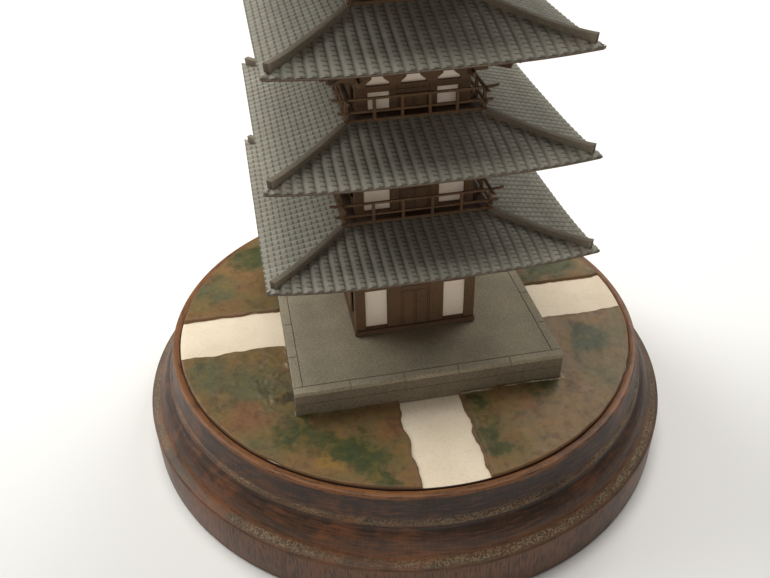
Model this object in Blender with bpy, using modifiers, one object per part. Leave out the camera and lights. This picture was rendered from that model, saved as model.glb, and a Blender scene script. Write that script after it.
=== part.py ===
# A card model of a five-storey pagoda on a turned wooden base.
# Blender 4.5, metres, +Z up. The origin is the centre of the base's underside, and the front faces -Y.

import math

import bmesh
import bpy
from mathutils import Matrix

MM = 0.001

# Driving dimensions
GAP = 0.25 * MM               # air between pieces that touch in the real model
STOREYS = 5
CARD = 1.0 * MM               # thickness of the wall card
CARD_INLAY = 0.1 * MM         # arm ends are thinner than the wall card by this much on each face

BASE_RADIUS = 87.4 * MM       # turned wooden base, at its plinth
BASE_HEIGHT = 32.4 * MM       # underside to the seat of the ground disc
BASE_STEPS = 52               # sides of the turned shape
RIM_RADIUS = 77.6 * MM        # rim round the disc, outside face
RIM_HEIGHT = 0.8 * MM         # above the disc's seat
RIM_ROUND = 0.5 * MM
DISC_RADIUS = 75.0 * MM       # cream card disc let into the base
DISC_THICKNESS = 0.85 * MM
DISC_PLAY = 0.5 * MM          # between the disc's edge and the rim

PATH_HALF_WIDTH = 9.2 * MM    # bare paths between the painted patches
# each path's centre line left of the tower's axis, looking outward: right, back, left, front
PATH_OFFSETS = (-1.6 * MM, 0.0, -3.0 * MM, -1.1 * MM)
PATCH_THICKNESS = 0.9 * MM
PATCH_RADIUS = 74.2 * MM
PATCH_WAVE = 0.6 * MM         # how far a patch's edge wanders

PODIUM_HALF = 41.0 * MM
PODIUM_HEIGHT = 10.1 * MM
PODIUM_TOP_THICKNESS = 1.4 * MM
PODIUM_INSET = 0.2 * MM       # podium's sides in from the edge of its top
SILL_HALF = 19.3 * MM
SILL_HEIGHT = 1.9 * MM

WALL_HALF = 18.9 * MM         # first storey, outside face
WALL_TAPER = 1.6 * MM         # each storey's wall is this much nearer the axis
EAVE_HALF = 45.2 * MM
EAVE_TAPER = 2.2 * MM
EAVE_HEIGHT = 47.45 * MM      # middle of the first eave above the ground disc
STOREY_PITCH = 28.25 * MM
# how far an eave's corners rise above its middle, first storey to fifth
CORNER_LIFTS = (2.5 * MM, 1.9 * MM, 1.5 * MM, 1.5 * MM, 1.5 * MM)
LIFT_POWER = 3.0
ROOF_RISE = 4.25 * MM         # first roof, middle of the eave to the top edge
ROOF_RISE_STEP = 1.55 * MM    # each roof above rises this much more
ROOF_CARD = 0.8 * MM
SLOPED_CARD = 1.15            # sloping card measured upright, as a share of its thickness
TOP_ROOF_RISE = 14.05 * MM
TOP_ROOF_HALF = 3.4 * MM      # top edge of the fifth roof, under the finial

BALCONY_HALF = 21.2 * MM      # second storey's corner posts, centre line
BALCONY_TAPER = 2.5 * MM
DECK_THICKNESS = 0.6 * MM
DECK_EDGE = 0.45 * MM         # deck beyond the corner posts' centre line
COLLAR_THICKNESS = 0.4 * MM
COLLAR_WIDTH = 3.0 * MM
RAIL = 0.65 * MM
POST = 0.8 * MM
POSTS_PER_SIDE = 6
MID_RAIL_HEIGHT = 2.2 * MM    # above the deck, to the rail's centre
TOP_RAIL_HEIGHT = 5.7 * MM
MID_RAIL_TIP = 2.4 * MM       # rail beyond the corner post
TOP_RAIL_TIP = 3.9 * MM
TIP_LIFT = 0.45 * MM

RIDGE_WIDTH = 2.0 * MM
RIDGE_HEIGHT = 1.5 * MM
RIDGE_END = 1.1 * MM          # ridge stops short of the eave's corner
RIDGE_KICK = 0.9 * MM         # extra height at the ridge's outer end

PANEL_FOOT = 0.3 * MM
PANEL_HEIGHTS = (14.2 * MM, 7.4 * MM, 5.35 * MM, 5.0 * MM, 4.6 * MM)    # first storey to fifth
PANEL_WIDTHS = (6.9 * MM, 7.6 * MM, 6.0 * MM, 5.4 * MM, 4.8 * MM)
# each storey's panels' outer edge in from the wall's corner
PANEL_MARGINS = (3.15 * MM, 2.6 * MM, 3.25 * MM, 3.1 * MM, 2.9 * MM)
FIRST_BEAM_HEIGHT = 8.2 * MM  # over the panels of the first storey
BEAM_HEIGHT = 1.65 * MM
BLOCK_WIDTH = 2.7 * MM        # bearing block of a bracket
BLOCK_HEIGHT = 1.0 * MM
BLOCK_INSET = 1.4 * MM        # corner brackets' centre line in from the corner
BLOCK_PLACE = 0.315           # inner brackets' centre line, as a share of the wall's half width
ARM_WIDTH = 6.2 * MM          # bracket arm over the block
ARM_HEIGHT = 2.1 * MM
ARM_CHAMFER = 0.7 * MM        # underside of an arm's end
ARM_BEYOND = 4.6 * MM         # corner arms run past the wall's corner
HEAD_HEIGHT = 1.2 * MM        # beam over the brackets

CORE_DROP = 0.5 * MM          # white box's top below the wall's
BOX_INSET = 0.2 * MM          # box under the roof, in from the wall's face
BOX_CLEARANCE = 0.05 * MM     # more air between the box and the roof
RIB_CARD = 1.0 * MM           # ribs that carry the eaves
RIB_ROOT = 0.7 * MM           # rib inside the wall's face
RIB_INSET = 2.3 * MM          # outer ribs in from the wall's corners
RIB_STEPS = (6.0 * MM, 13.5 * MM, 20.5 * MM)
RIB_RISES = (0.0, 0.5, 0.8)   # height of each step's underside, as shares of the space below the eave
CORNER_STEPS = (8.0 * MM, 10.0 * MM, 17.0 * MM, 21.3 * MM)    # of the ribs along the diagonals
CORNER_RISES = (0.0, 0.25, 0.75, 1.08)
RIB_SLOPE = 0.5 * MM          # how far out an edge between two steps leans
ROOF_CLEARANCE = 0.1 * MM     # more air between the ribs and the roof

ROBAN_HALF = 3.9 * MM         # square box at the finial's foot
ROBAN_HEIGHT = 3.4 * MM
BOWL_RADIUS = 3.2 * MM
BOWL_HEIGHT = 3.2 * MM
MAST_RADIUS = 0.75 * MM
RINGS = 9
RING_PITCH = 2.7 * MM
RING_RADIUS = 4.3 * MM
RING_TAPER = 0.2 * MM
RING_THICKNESS = 0.7 * MM
FLAME_CARD = 0.7 * MM
FLAME_FOOT = 0.7 * MM         # half width of the flame's foot and tip, and radius of the jewels' stem
FLAME_HEIGHT = 10.0 * MM
FLAME_HALF = 3.6 * MM
JEWEL_RADIUS = 1.7 * MM

# Heights worked out from the driving dimensions
DISC_TOP = BASE_HEIGHT + GAP + DISC_THICKNESS
PODIUM_TOP = DISC_TOP + PODIUM_HEIGHT
SILL_TOP = PODIUM_TOP + SILL_HEIGHT

# Colours are linear RGB, then roughness and metallic
FINISHES = {
    "stained_wood": ((0.115, 0.045, 0.022), 0.42, 0.0),
    "cream_card": ((0.62, 0.57, 0.46), 0.85, 0.0),
    "ground_paint": ((0.085, 0.075, 0.035), 0.35, 0.0),
    "podium_card": ((0.13, 0.14, 0.125), 0.9, 0.0),
    "wall_card": ((0.055, 0.036, 0.022), 0.85, 0.0),
    "white_card": ((0.80, 0.80, 0.77), 0.8, 0.0),
    "roof_card": ((0.105, 0.125, 0.125), 0.85, 0.0),
    "ridge_card": ((0.10, 0.095, 0.085), 0.85, 0.0),
    "finial_card": ((0.07, 0.05, 0.035), 0.6, 0.3),
}


# Scene and mesh helpers

def clear_scene():
    for obj in list(bpy.data.objects):
        bpy.data.objects.remove(obj, do_unlink=True)


def make_collection(name):
    collection = bpy.data.collections.new(name)
    bpy.context.scene.collection.children.link(collection)
    return collection


def finish(name):
    # one Principled material for each finish, made the first time it is asked for
    if name in bpy.data.materials:
        return bpy.data.materials[name]
    colour, roughness, metallic = FINISHES[name]
    material = bpy.data.materials.new(name)
    material.use_nodes = True
    shader = material.node_tree.nodes["Principled BSDF"]
    shader.inputs["Base Color"].default_value = (*colour, 1.0)
    shader.inputs["Roughness"].default_value = roughness
    shader.inputs["Metallic"].default_value = metallic
    material.diffuse_color = (*colour, 1.0)
    return material


def piece(name, mesh, finish_name):
    mesh.materials.clear()
    mesh.materials.append(finish(finish_name))
    obj = bpy.data.objects.new(name, mesh)
    PAGODA.objects.link(obj)
    return obj


def cutter(name, mesh):
    obj = bpy.data.objects.new(name, mesh)
    CUTTERS.objects.link(obj)
    obj.hide_render = True
    obj.display_type = "WIRE"
    return obj


def combine(target, operand, operation):
    modifier = target.modifiers.new(operand.name, "BOOLEAN")
    modifier.operation = operation
    modifier.solver = "EXACT"
    modifier.object = operand


def mesh_from(bm, name):
    bmesh.ops.recalc_face_normals(bm, faces=bm.faces)
    mesh = bpy.data.meshes.new(name)
    bm.to_mesh(mesh)
    bm.free()
    return mesh


def add_box(bm, low, high):
    centre = [(a + b) / 2 for a, b in zip(low, high)]
    size = [b - a for a, b in zip(low, high)]
    place = Matrix.Translation(centre) @ Matrix.Diagonal((*size, 1.0))
    return bmesh.ops.create_cube(bm, size=1.0, matrix=place)["verts"]


def box_mesh(name, *boxes):
    bm = bmesh.new()
    for low, high in boxes:
        add_box(bm, low, high)
    return mesh_from(bm, name)


def block(name, half, bottom, top, finish_name):
    return piece(name, box_mesh(name, ((-half, -half, bottom), (half, half, top))), finish_name)


def plate_mesh(name, outline, thickness):
    # a flat outline in XY, thickness centred on z = 0, made a welded mesh so that it can be cut and joined
    curve = bpy.data.curves.new(name, "CURVE")
    curve.dimensions = "2D"
    curve.fill_mode = "BOTH"
    curve.extrude = thickness / 2
    spline = curve.splines.new("POLY")
    spline.points.add(len(outline) - 1)
    for point, (x, y) in zip(spline.points, outline):
        point.co = (x, y, 0.0, 1.0)
    spline.use_cyclic_u = True
    holder = bpy.data.objects.new(name, curve)
    bpy.context.scene.collection.objects.link(holder)
    depsgraph = bpy.context.evaluated_depsgraph_get()
    mesh = bpy.data.meshes.new_from_object(holder.evaluated_get(depsgraph))
    bpy.data.objects.remove(holder)
    bpy.data.curves.remove(curve)
    bm = bmesh.new()
    bm.from_mesh(mesh)
    bpy.data.meshes.remove(mesh)
    bmesh.ops.remove_doubles(bm, verts=bm.verts, dist=0.001 * MM)
    bmesh.ops.dissolve_limit(bm, angle_limit=0.002, verts=bm.verts, edges=bm.edges)
    return mesh_from(bm, name)


def turned(name, profile, steps, finish_name):
    # the profile runs top to bottom at +X and is turned about Z
    mesh = bpy.data.meshes.new(name)
    edges = [(index, index + 1) for index in range(len(profile) - 1)]
    mesh.from_pydata([(radius, 0.0, height) for radius, height in profile], edges, [])
    obj = piece(name, mesh, finish_name)
    screw = obj.modifiers.new("turn", "SCREW")
    screw.angle = 2 * math.pi
    screw.steps = steps
    screw.render_steps = steps
    screw.use_merge_vertices = True
    screw.merge_threshold = 0.001 * MM
    screw.use_smooth_shade = True
    return obj


def arc(start, end, bulge, count):
    # points from start to end; bulge is the arc's height over its chord, positive to the right of travel
    (x0, y0), (x1, y1) = start, end
    chord = math.hypot(x1 - x0, y1 - y0)
    side = ((y1 - y0) / chord, -(x1 - x0) / chord)
    points = []
    for index in range(count + 1):
        share = index / count
        rise = 4 * bulge * share * (1 - share)
        points.append((x0 + (x1 - x0) * share + side[0] * rise, y0 + (y1 - y0) * share + side[1] * rise))
    return points


def upright_x(offset):
    # stands a plate up along X, its outline's y becoming z, at y = offset
    return Matrix.Translation((0.0, offset, 0.0)) @ Matrix.Rotation(math.pi / 2, 4, "X")


def quarter_turn(count):
    return Matrix.Rotation(count * math.pi / 2, 4, "Z")


# Sizes of each storey, numbered from 1

def wall_half(storey):
    return WALL_HALF - WALL_TAPER * (storey - 1)


def eave_half(storey):
    return EAVE_HALF - EAVE_TAPER * (storey - 1)


def eave_middle(storey):
    return DISC_TOP + EAVE_HEIGHT + STOREY_PITCH * (storey - 1)


def balcony_half(storey):
    return BALCONY_HALF - BALCONY_TAPER * (storey - 2)


def roof_top_half(storey):
    if storey == STOREYS:
        return TOP_ROOF_HALF
    return balcony_half(storey + 1) + DECK_EDGE / 2


def roof_top(storey):
    if storey == STOREYS:
        return eave_middle(storey) + TOP_ROOF_RISE
    return eave_middle(storey) + ROOF_RISE + ROOF_RISE_STEP * (storey - 1)


def deck_bottom(storey):
    return roof_top(storey - 1) + 2 * GAP + COLLAR_THICKNESS


def floor_top(storey):
    # what the storey's wall stands on
    if storey == 1:
        return SILL_TOP
    return deck_bottom(storey) + DECK_THICKNESS


def panel_top(storey):
    return floor_top(storey) + GAP + PANEL_FOOT + PANEL_HEIGHTS[storey - 1]


def beam_top(storey):
    return panel_top(storey) + (FIRST_BEAM_HEIGHT if storey == 1 else BEAM_HEIGHT)


def wall_top(storey):
    return beam_top(storey) + BLOCK_HEIGHT + ARM_HEIGHT + HEAD_HEIGHT


def roof_height(storey, x, y):
    # upper surface of a roof: straight from eave to top edge, with the eave's corners swept up
    reach = max(abs(x), abs(y))
    corner = min(abs(x), abs(y)) / reach
    eave, top = eave_half(storey), roof_top_half(storey)
    share = (eave - reach) / (eave - top)
    rise = (roof_top(storey) - eave_middle(storey)) * share
    lift = CORNER_LIFTS[storey - 1] * corner ** LIFT_POWER * max(0.0, 1.0 - share) ** 1.6
    return eave_middle(storey) + rise + lift


# Base and ground

def base_profile():
    # the disc's seat and the rim round it, then hollow drum, bead, cove, bulge, fillet and plinth
    lip, rim = DISC_RADIUS + DISC_PLAY, BASE_HEIGHT + RIM_HEIGHT
    drum = (RIM_RADIUS, rim - RIM_ROUND)
    curves = ((drum, (78.9 * MM, 25.2 * MM), 0.35 * MM, 3),
              ((78.9 * MM, 25.2 * MM), (79.8 * MM, 23.6 * MM), -0.35 * MM, 2),
              ((79.8 * MM, 23.6 * MM), (80.4 * MM, 22.0 * MM), 0.3 * MM, 2),
              ((80.4 * MM, 22.0 * MM), (83.6 * MM, 17.2 * MM), -0.55 * MM, 3),
              ((83.6 * MM, 17.2 * MM), (84.7 * MM, 15.7 * MM), 0.15 * MM, 2))
    profile = [(0.0, BASE_HEIGHT), (lip, BASE_HEIGHT), (lip, rim), (RIM_RADIUS - RIM_ROUND, rim), drum]
    for start, end, bulge, count in curves:
        profile += arc(start, end, bulge, count)[1:]
    profile += [(BASE_RADIUS - 0.5 * MM, 14.5 * MM), (BASE_RADIUS, 13.9 * MM), (BASE_RADIUS, 0.5 * MM),
                (BASE_RADIUS - 0.5 * MM, 0.0), (0.0, 0.0)]
    return profile


def make_base():
    turned("turned_base", base_profile(), BASE_STEPS, "stained_wood")
    bm = bmesh.new()
    middle = Matrix.Translation((0.0, 0.0, DISC_TOP - DISC_THICKNESS / 2))
    bmesh.ops.create_cone(bm, cap_ends=True, segments=64, radius1=DISC_RADIUS, radius2=DISC_RADIUS,
                          depth=DISC_THICKNESS, matrix=middle)
    piece("ground_disc", mesh_from(bm, "ground_disc"), "cream_card")


def patch_outline(quarter):
    # one painted quarter of the ground, between two paths, the podium and the disc's rim;
    # in the quarter's own frame one path lies along +X and the next along +Y
    def wander(share, phase):
        return PATCH_WAVE * (math.sin(9.0 * share + phase) + 0.5 * math.sin(23.0 * share + 2 * phase))

    inner = PODIUM_HALF + GAP
    first = PATH_HALF_WIDTH + PATCH_WAVE + PATH_OFFSETS[quarter]
    second = PATH_HALF_WIDTH + PATCH_WAVE - PATH_OFFSETS[(quarter + 1) % 4]
    start = math.asin(first / PATCH_RADIUS)
    end = math.pi / 2 - math.asin(second / PATCH_RADIUS)
    outline = [(inner, first), (inner, inner), (second, inner)]
    first_reach = PATCH_RADIUS * math.cos(start)
    second_reach = PATCH_RADIUS * math.sin(end)
    for index in range(1, 5):
        share = index / 5
        outline.append((second + wander(share, quarter), inner + (second_reach - inner) * share))
    for index in range(13):
        share = index / 12
        turn = end + (start - end) * share
        radius = PATCH_RADIUS - abs(wander(2.0 * share, quarter + 1.0)) * 0.6
        outline.append((radius * math.cos(turn), radius * math.sin(turn)))
    for index in range(1, 5):
        share = 1 - index / 5
        outline.append((inner + (first_reach - inner) * share, first + wander(share, quarter + 2.0)))
    return outline


def make_patches():
    names = ("ground_patch_back_right", "ground_patch_back_left",
             "ground_patch_front_left", "ground_patch_front_right")
    for quarter, name in enumerate(names):
        mesh = plate_mesh(name, patch_outline(quarter), PATCH_THICKNESS)
        height = DISC_TOP + GAP + PATCH_THICKNESS / 2
        mesh.transform(Matrix.Translation((0.0, 0.0, height)) @ quarter_turn(quarter))
        piece(name, mesh, "ground_paint")


def make_podium():
    seam = PODIUM_TOP - PODIUM_TOP_THICKNESS
    block("podium_body", PODIUM_HALF - PODIUM_INSET, DISC_TOP + GAP, seam - GAP, "podium_card")
    block("podium_top", PODIUM_HALF, seam, PODIUM_TOP, "podium_card")
    block("wall_sill", SILL_HALF, PODIUM_TOP + GAP, SILL_TOP, "wall_card")


# Walls

def bracket_opening(storey, left, right):
    # white field between two brackets: wide at the blocks, narrow between the arms
    bottom = beam_top(storey)
    seat = bottom + BLOCK_HEIGHT
    head = seat + ARM_HEIGHT
    block_side = BLOCK_WIDTH / 2
    reach = min(ARM_WIDTH / 2, (right - left) / 2 - ARM_CHAMFER)
    return [(left + block_side, bottom), (right - block_side, bottom),
            (right - block_side, seat), (right - reach, seat + ARM_CHAMFER), (right - reach, head),
            (left + reach, head), (left + reach, seat + ARM_CHAMFER), (left + block_side, seat)]


def wall_openings(storey):
    # everything cut through the front and back walls, as plates standing along X
    half = wall_half(storey)
    foot = floor_top(storey) + GAP + PANEL_FOOT
    through = 2 * half + 4 * MM
    bm = bmesh.new()
    outer = half - PANEL_MARGINS[storey - 1]
    inner = outer - PANEL_WIDTHS[storey - 1]
    for left, right in ((-outer, -inner), (inner, outer)):
        add_box(bm, (left, -through / 2, foot), (right, through / 2, panel_top(storey)))
    corner, middle = half - BLOCK_INSET, BLOCK_PLACE * half
    pillars = (-corner, -middle, middle, corner)
    for left, right in zip(pillars, pillars[1:]):
        mesh = plate_mesh("bracket_opening", bracket_opening(storey, left, right), through)
        mesh.transform(upright_x(0.0))
        bm.from_mesh(mesh)
        bpy.data.meshes.remove(mesh)
    return mesh_from(bm, f"openings_{storey}")


def arm_ends(storey):
    # the corner brackets' arms, carried on past the wall's corners in the plane of each wall
    half = wall_half(storey)
    seat = beam_top(storey) + BLOCK_HEIGHT + ARM_CHAMFER
    bm = bmesh.new()
    for side in (-1, 1):
        for end in (-1, 1):
            along = sorted((end * (half - CARD / 2), end * (half + ARM_BEYOND)))
            across = sorted((side * (half - CARD_INLAY), side * (half - CARD + CARD_INLAY)))
            add_box(bm, (along[0], across[0], seat), (along[1], across[1], seat + ARM_HEIGHT - ARM_CHAMFER))
    ends = mesh_from(bm, "arm_ends")
    bm = bmesh.new()
    bm.from_mesh(ends)
    ends.transform(quarter_turn(1))
    bm.from_mesh(ends)
    bpy.data.meshes.remove(ends)
    return mesh_from(bm, "arm_ends")


def make_wall(storey):
    half = wall_half(storey)
    bottom = floor_top(storey) + GAP
    top = wall_top(storey)
    wall = block(f"storey_{storey}_wall", half, bottom, top, "wall_card")
    inner = half - CARD
    hollow = box_mesh(f"hollow_{storey}", ((-inner, -inner, bottom - MM), (inner, inner, top + MM)))
    combine(wall, cutter(f"hollow_{storey}", hollow), "DIFFERENCE")
    openings = wall_openings(storey)
    across = openings.copy()
    across.transform(quarter_turn(1))
    combine(wall, cutter(f"openings_front_{storey}", openings), "DIFFERENCE")
    combine(wall, cutter(f"openings_side_{storey}", across), "DIFFERENCE")
    combine(wall, cutter(f"arm_ends_{storey}", arm_ends(storey)), "UNION")
    block(f"storey_{storey}_core", inner - GAP, bottom, top - CORE_DROP, "white_card")


# Eaves

def under_roof(storey, x, y):
    # highest point that a piece below the roof's card may reach
    return roof_height(storey, x, y) - SLOPED_CARD * ROOF_CARD - GAP


def rib_outline(storey, start, steps, rises, height_at):
    # from start outward: steps below, and the roof's slope above
    half = wall_half(storey)
    foot = wall_top(storey) + 2 * GAP
    zone = eave_middle(storey) - ROOF_CARD - foot
    lower = []
    inner = start
    for step, rise in zip(steps, rises):
        lower += [(inner, foot + rise * zone), (half + step, foot + rise * zone)]
        inner = half + step + RIB_SLOPE
    reaches = [half + step for step in reversed(steps)] + [start]
    return lower + [(reach, height_at(reach) - ROOF_CLEARANCE) for reach in reaches]


def straight_rib(storey, offset):
    # a rib that reaches out along +X, at y = offset
    start = wall_half(storey) - RIB_ROOT
    outline = rib_outline(storey, start, RIB_STEPS, RIB_RISES, lambda x: under_roof(storey, x, offset))
    mesh = plate_mesh("rib", outline, RIB_CARD)
    mesh.transform(upright_x(offset))
    return mesh


def corner_rib(storey):
    # a rib along the diagonal, whose reach along each wall is its length over root two
    start = wall_half(storey) - RIB_ROOT
    outline = rib_outline(storey, start, CORNER_STEPS, CORNER_RISES,
                          lambda reach: under_roof(storey, reach, reach))
    mesh = plate_mesh("corner_rib", [(reach * math.sqrt(2), z) for reach, z in outline], RIB_CARD)
    mesh.transform(Matrix.Rotation(math.pi / 4, 4, "Z") @ upright_x(0.0))
    return mesh


def turned_copies(name, meshes, turns):
    # each mesh, copied at each of the quarter turns
    bm = bmesh.new()
    for mesh in meshes:
        for turn in turns:
            moved = mesh.copy()
            moved.transform(quarter_turn(turn))
            bm.from_mesh(moved)
            bpy.data.meshes.remove(moved)
    return mesh_from(bm, name)


def square_ring(name, outer, inner, bottom, top):
    # four bars that meet in a square, as one mesh
    bm = bmesh.new()
    bmesh.ops.create_grid(bm, x_segments=3, y_segments=3, size=1.0)
    middle = [face for face in bm.faces if face.calc_center_median().length < 0.1]
    bmesh.ops.delete(bm, geom=middle, context="FACES_ONLY")
    for vert in bm.verts:
        for axis in (0, 1):
            size = outer if abs(vert.co[axis]) > 0.9 else inner
            vert.co[axis] = math.copysign(size, vert.co[axis])
        vert.co.z = bottom
    solid = bmesh.ops.extrude_face_region(bm, geom=bm.faces[:])
    raised = [item for item in solid["geom"] if isinstance(item, bmesh.types.BMVert)]
    bmesh.ops.translate(bm, verts=raised, vec=(0.0, 0.0, top - bottom))
    return mesh_from(bm, name)


def make_eave_frame(storey):
    # a closed box over the wall, with ribs on each side and at the corners that carry the roof
    half = wall_half(storey)
    box_half = half - BOX_INSET
    box_top = under_roof(storey, box_half, 0.0) - BOX_CLEARANCE
    frame = block(f"storey_{storey}_eave_frame", box_half, wall_top(storey) + GAP, box_top, "wall_card")
    outer = half - RIB_INSET
    ribs = [straight_rib(storey, offset) for offset in (-outer, -half / 3, half / 3, outer)]
    ribs.append(corner_rib(storey))
    combine(frame, cutter(f"ribs_{storey}", turned_copies("ribs", ribs, range(4))), "UNION")


# Roofs

def make_roof(storey):
    # one side is a grid from the eave to the top edge, turned four times round the axis
    name = f"roof_{storey}"
    bm = bmesh.new()
    bmesh.ops.create_grid(bm, x_segments=8, y_segments=2, size=1.0)
    eave, top = eave_half(storey), roof_top_half(storey)
    for vert in bm.verts:
        reach = eave + (top - eave) * (vert.co.y + 1) / 2
        x = vert.co.x * reach
        vert.co = (x, -reach, roof_height(storey, x, reach))
    bmesh.ops.spin(bm, geom=bm.faces[:], axis=(0, 0, 1), cent=(0, 0, 0), angle=2 * math.pi,
                   steps=4, use_duplicate=True)
    bmesh.ops.remove_doubles(bm, verts=bm.verts, dist=0.01 * MM)
    bmesh.ops.recalc_face_normals(bm, faces=bm.faces)
    if sum(face.normal.z for face in bm.faces) < 0:
        bmesh.ops.reverse_faces(bm, faces=bm.faces)
    mesh = bpy.data.meshes.new(name)
    bm.to_mesh(mesh)
    bm.free()
    roof = piece(name, mesh, "roof_card")
    shell = roof.modifiers.new("card", "SOLIDIFY")
    shell.thickness = ROOF_CARD
    shell.offset = -1.0
    shell.use_even_offset = True


def ridge_outline(storey):
    # along the hip, in distance from the axis: a low tongue under the deck, then the tall ridge
    root = math.sqrt(2)
    top_half = roof_top_half(storey)
    seat = roof_top(storey) + GAP
    cover = ROBAN_HALF if storey == STOREYS else top_half + DECK_EDGE / 2
    tall_start = cover + GAP / root
    outer = eave_half(storey) - RIDGE_END
    steps = 5
    bottom = [(top_half - COLLAR_WIDTH / 2, seat), (top_half, seat)]
    bottom += [(reach, roof_height(storey, reach, reach) + GAP)
               for reach in [top_half + (outer - top_half) * index / steps for index in range(1, steps + 1)]]
    crest = []
    for index in range(steps + 1):
        share = index / steps
        reach = outer + (tall_start - outer) * share
        height = RIDGE_HEIGHT + RIDGE_KICK * (1 - share) ** 3
        crest.append((reach, roof_height(storey, reach, reach) + GAP + height))
    tongue = [(tall_start, seat + COLLAR_THICKNESS), (top_half - COLLAR_WIDTH / 2, seat + COLLAR_THICKNESS)]
    return [(reach * root, z) for reach, z in bottom + crest + tongue]


def make_ridges(storey):
    name = f"roof_{storey}_hip_ridges"
    top_half = roof_top_half(storey)
    seat = roof_top(storey) + GAP
    collar = square_ring(name, top_half, top_half - COLLAR_WIDTH, seat, seat + COLLAR_THICKNESS)
    ridges = piece(name, collar, "ridge_card")
    strip = plate_mesh("ridge", ridge_outline(storey), RIDGE_WIDTH)
    strip.transform(Matrix.Rotation(math.pi / 4, 4, "Z") @ upright_x(0.0))
    combine(ridges, cutter(f"ridges_{storey}", turned_copies("ridges", [strip], range(4))), "UNION")


# Balconies

def rail_boxes(bm, half, tip, centre, lift):
    # the front and back rails at one height, cut at the corner posts so that their tips can turn up
    reach = half + tip
    for side in (-1, 1):
        low = (-reach, side * half - RAIL / 2, centre - RAIL / 2)
        high = (reach, side * half + RAIL / 2, centre + RAIL / 2)
        bar = add_box(bm, low, high)
        if lift:
            for cut in (-half - POST, half + POST):
                geometry = list({face for vert in bar for face in vert.link_faces})
                geometry += list({edge for vert in bar for edge in vert.link_edges}) + bar
                split = bmesh.ops.bisect_plane(bm, geom=geometry, plane_co=(cut, 0, 0), plane_no=(1, 0, 0))
                bar += [item for item in split["geom_cut"] if isinstance(item, bmesh.types.BMVert)]
            for vert in bar:
                if abs(vert.co.x) > reach - 0.01 * MM:
                    vert.co.z += lift


def make_balcony(storey):
    name = f"balcony_{storey}"
    half = balcony_half(storey)
    floor = deck_bottom(storey)
    deck_top = floor + DECK_THICKNESS
    deck = block(name, half + DECK_EDGE, floor, deck_top, "wall_card")
    bm = bmesh.new()
    spacing = 2 * half / (POSTS_PER_SIDE - 1)
    places = set()
    for index in range(POSTS_PER_SIDE):
        along = round(-half + index * spacing, 7)
        edge = round(half, 7)
        places.update([(along, -edge), (along, edge), (-edge, along), (edge, along)])
    for x, y in sorted(places):
        low = (x - POST / 2, y - POST / 2, floor + DECK_THICKNESS / 2)
        add_box(bm, low, (x + POST / 2, y + POST / 2, deck_top + TOP_RAIL_HEIGHT))
    combine(deck, cutter(f"posts_{storey}", mesh_from(bm, "posts")), "UNION")
    bm = bmesh.new()
    rail_boxes(bm, half, MID_RAIL_TIP, deck_top + MID_RAIL_HEIGHT, 0.0)
    rail_boxes(bm, half, TOP_RAIL_TIP, deck_top + TOP_RAIL_HEIGHT, TIP_LIFT)
    rails = mesh_from(bm, "rails")
    across = rails.copy()
    across.transform(quarter_turn(1))
    combine(deck, cutter(f"rails_front_{storey}", rails), "UNION")
    combine(deck, cutter(f"rails_side_{storey}", across), "UNION")


# Finial

def make_finial():
    seat = roof_top(STOREYS) + 2 * GAP + COLLAR_THICKNESS
    roban_top = seat + ROBAN_HEIGHT
    block("finial_box", ROBAN_HALF, seat, roban_top, "finial_card")

    bowl = roban_top + GAP
    profile = [(0.0, bowl + BOWL_HEIGHT), (2.2 * MM, bowl + BOWL_HEIGHT), (1.3 * MM, bowl + 2.5 * MM)]
    profile += arc((1.3 * MM, bowl + 2.5 * MM), (BOWL_RADIUS, bowl), -0.8 * MM, 5)[1:]
    profile.append((0.0, bowl))
    turned("finial_bowl", profile, 16, "finial_card")

    mast_foot = bowl + BOWL_HEIGHT + GAP
    first_ring = mast_foot + 1.6 * MM
    mast_top = first_ring + RINGS * RING_PITCH
    profile = [(0.0, mast_top), (MAST_RADIUS, mast_top)]
    for index in reversed(range(RINGS)):
        radius = RING_RADIUS - RING_TAPER * index
        top = first_ring + index * RING_PITCH + RING_THICKNESS
        profile += [(MAST_RADIUS, top), (radius, top), (radius, top - RING_THICKNESS),
                    (MAST_RADIUS, top - RING_THICKNESS)]
    profile += [(MAST_RADIUS, mast_foot), (0.0, mast_foot)]
    turned("finial_ring_mast", profile, 12, "finial_card")

    flame_foot = mast_top + GAP
    outline = flame_outline(flame_foot)
    flame = plate_mesh("finial_flame", outline, FLAME_CARD)
    flame.transform(upright_x(0.0))
    crossed = flame.copy()
    crossed.transform(quarter_turn(1))
    combine(piece("finial_flame", flame, "finial_card"), cutter("flame_across", crossed), "UNION")

    foot = flame_foot + FLAME_HEIGHT + GAP
    low_jewel, high_jewel = foot + 0.4 * MM + JEWEL_RADIUS, foot + 3.2 * JEWEL_RADIUS
    profile = [(0.0, high_jewel + 2.2 * JEWEL_RADIUS)]
    profile += arc((0.3 * MM, high_jewel + 1.5 * JEWEL_RADIUS), (FLAME_FOOT, high_jewel - JEWEL_RADIUS / 2),
                   -0.9 * JEWEL_RADIUS, 6)
    profile += arc((FLAME_FOOT, low_jewel + 0.9 * JEWEL_RADIUS), (FLAME_FOOT, low_jewel - 0.9 * JEWEL_RADIUS),
                   -0.65 * JEWEL_RADIUS, 6)
    profile += [(FLAME_FOOT, foot), (0.0, foot)]
    turned("finial_jewels", profile, 14, "finial_card")


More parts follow.
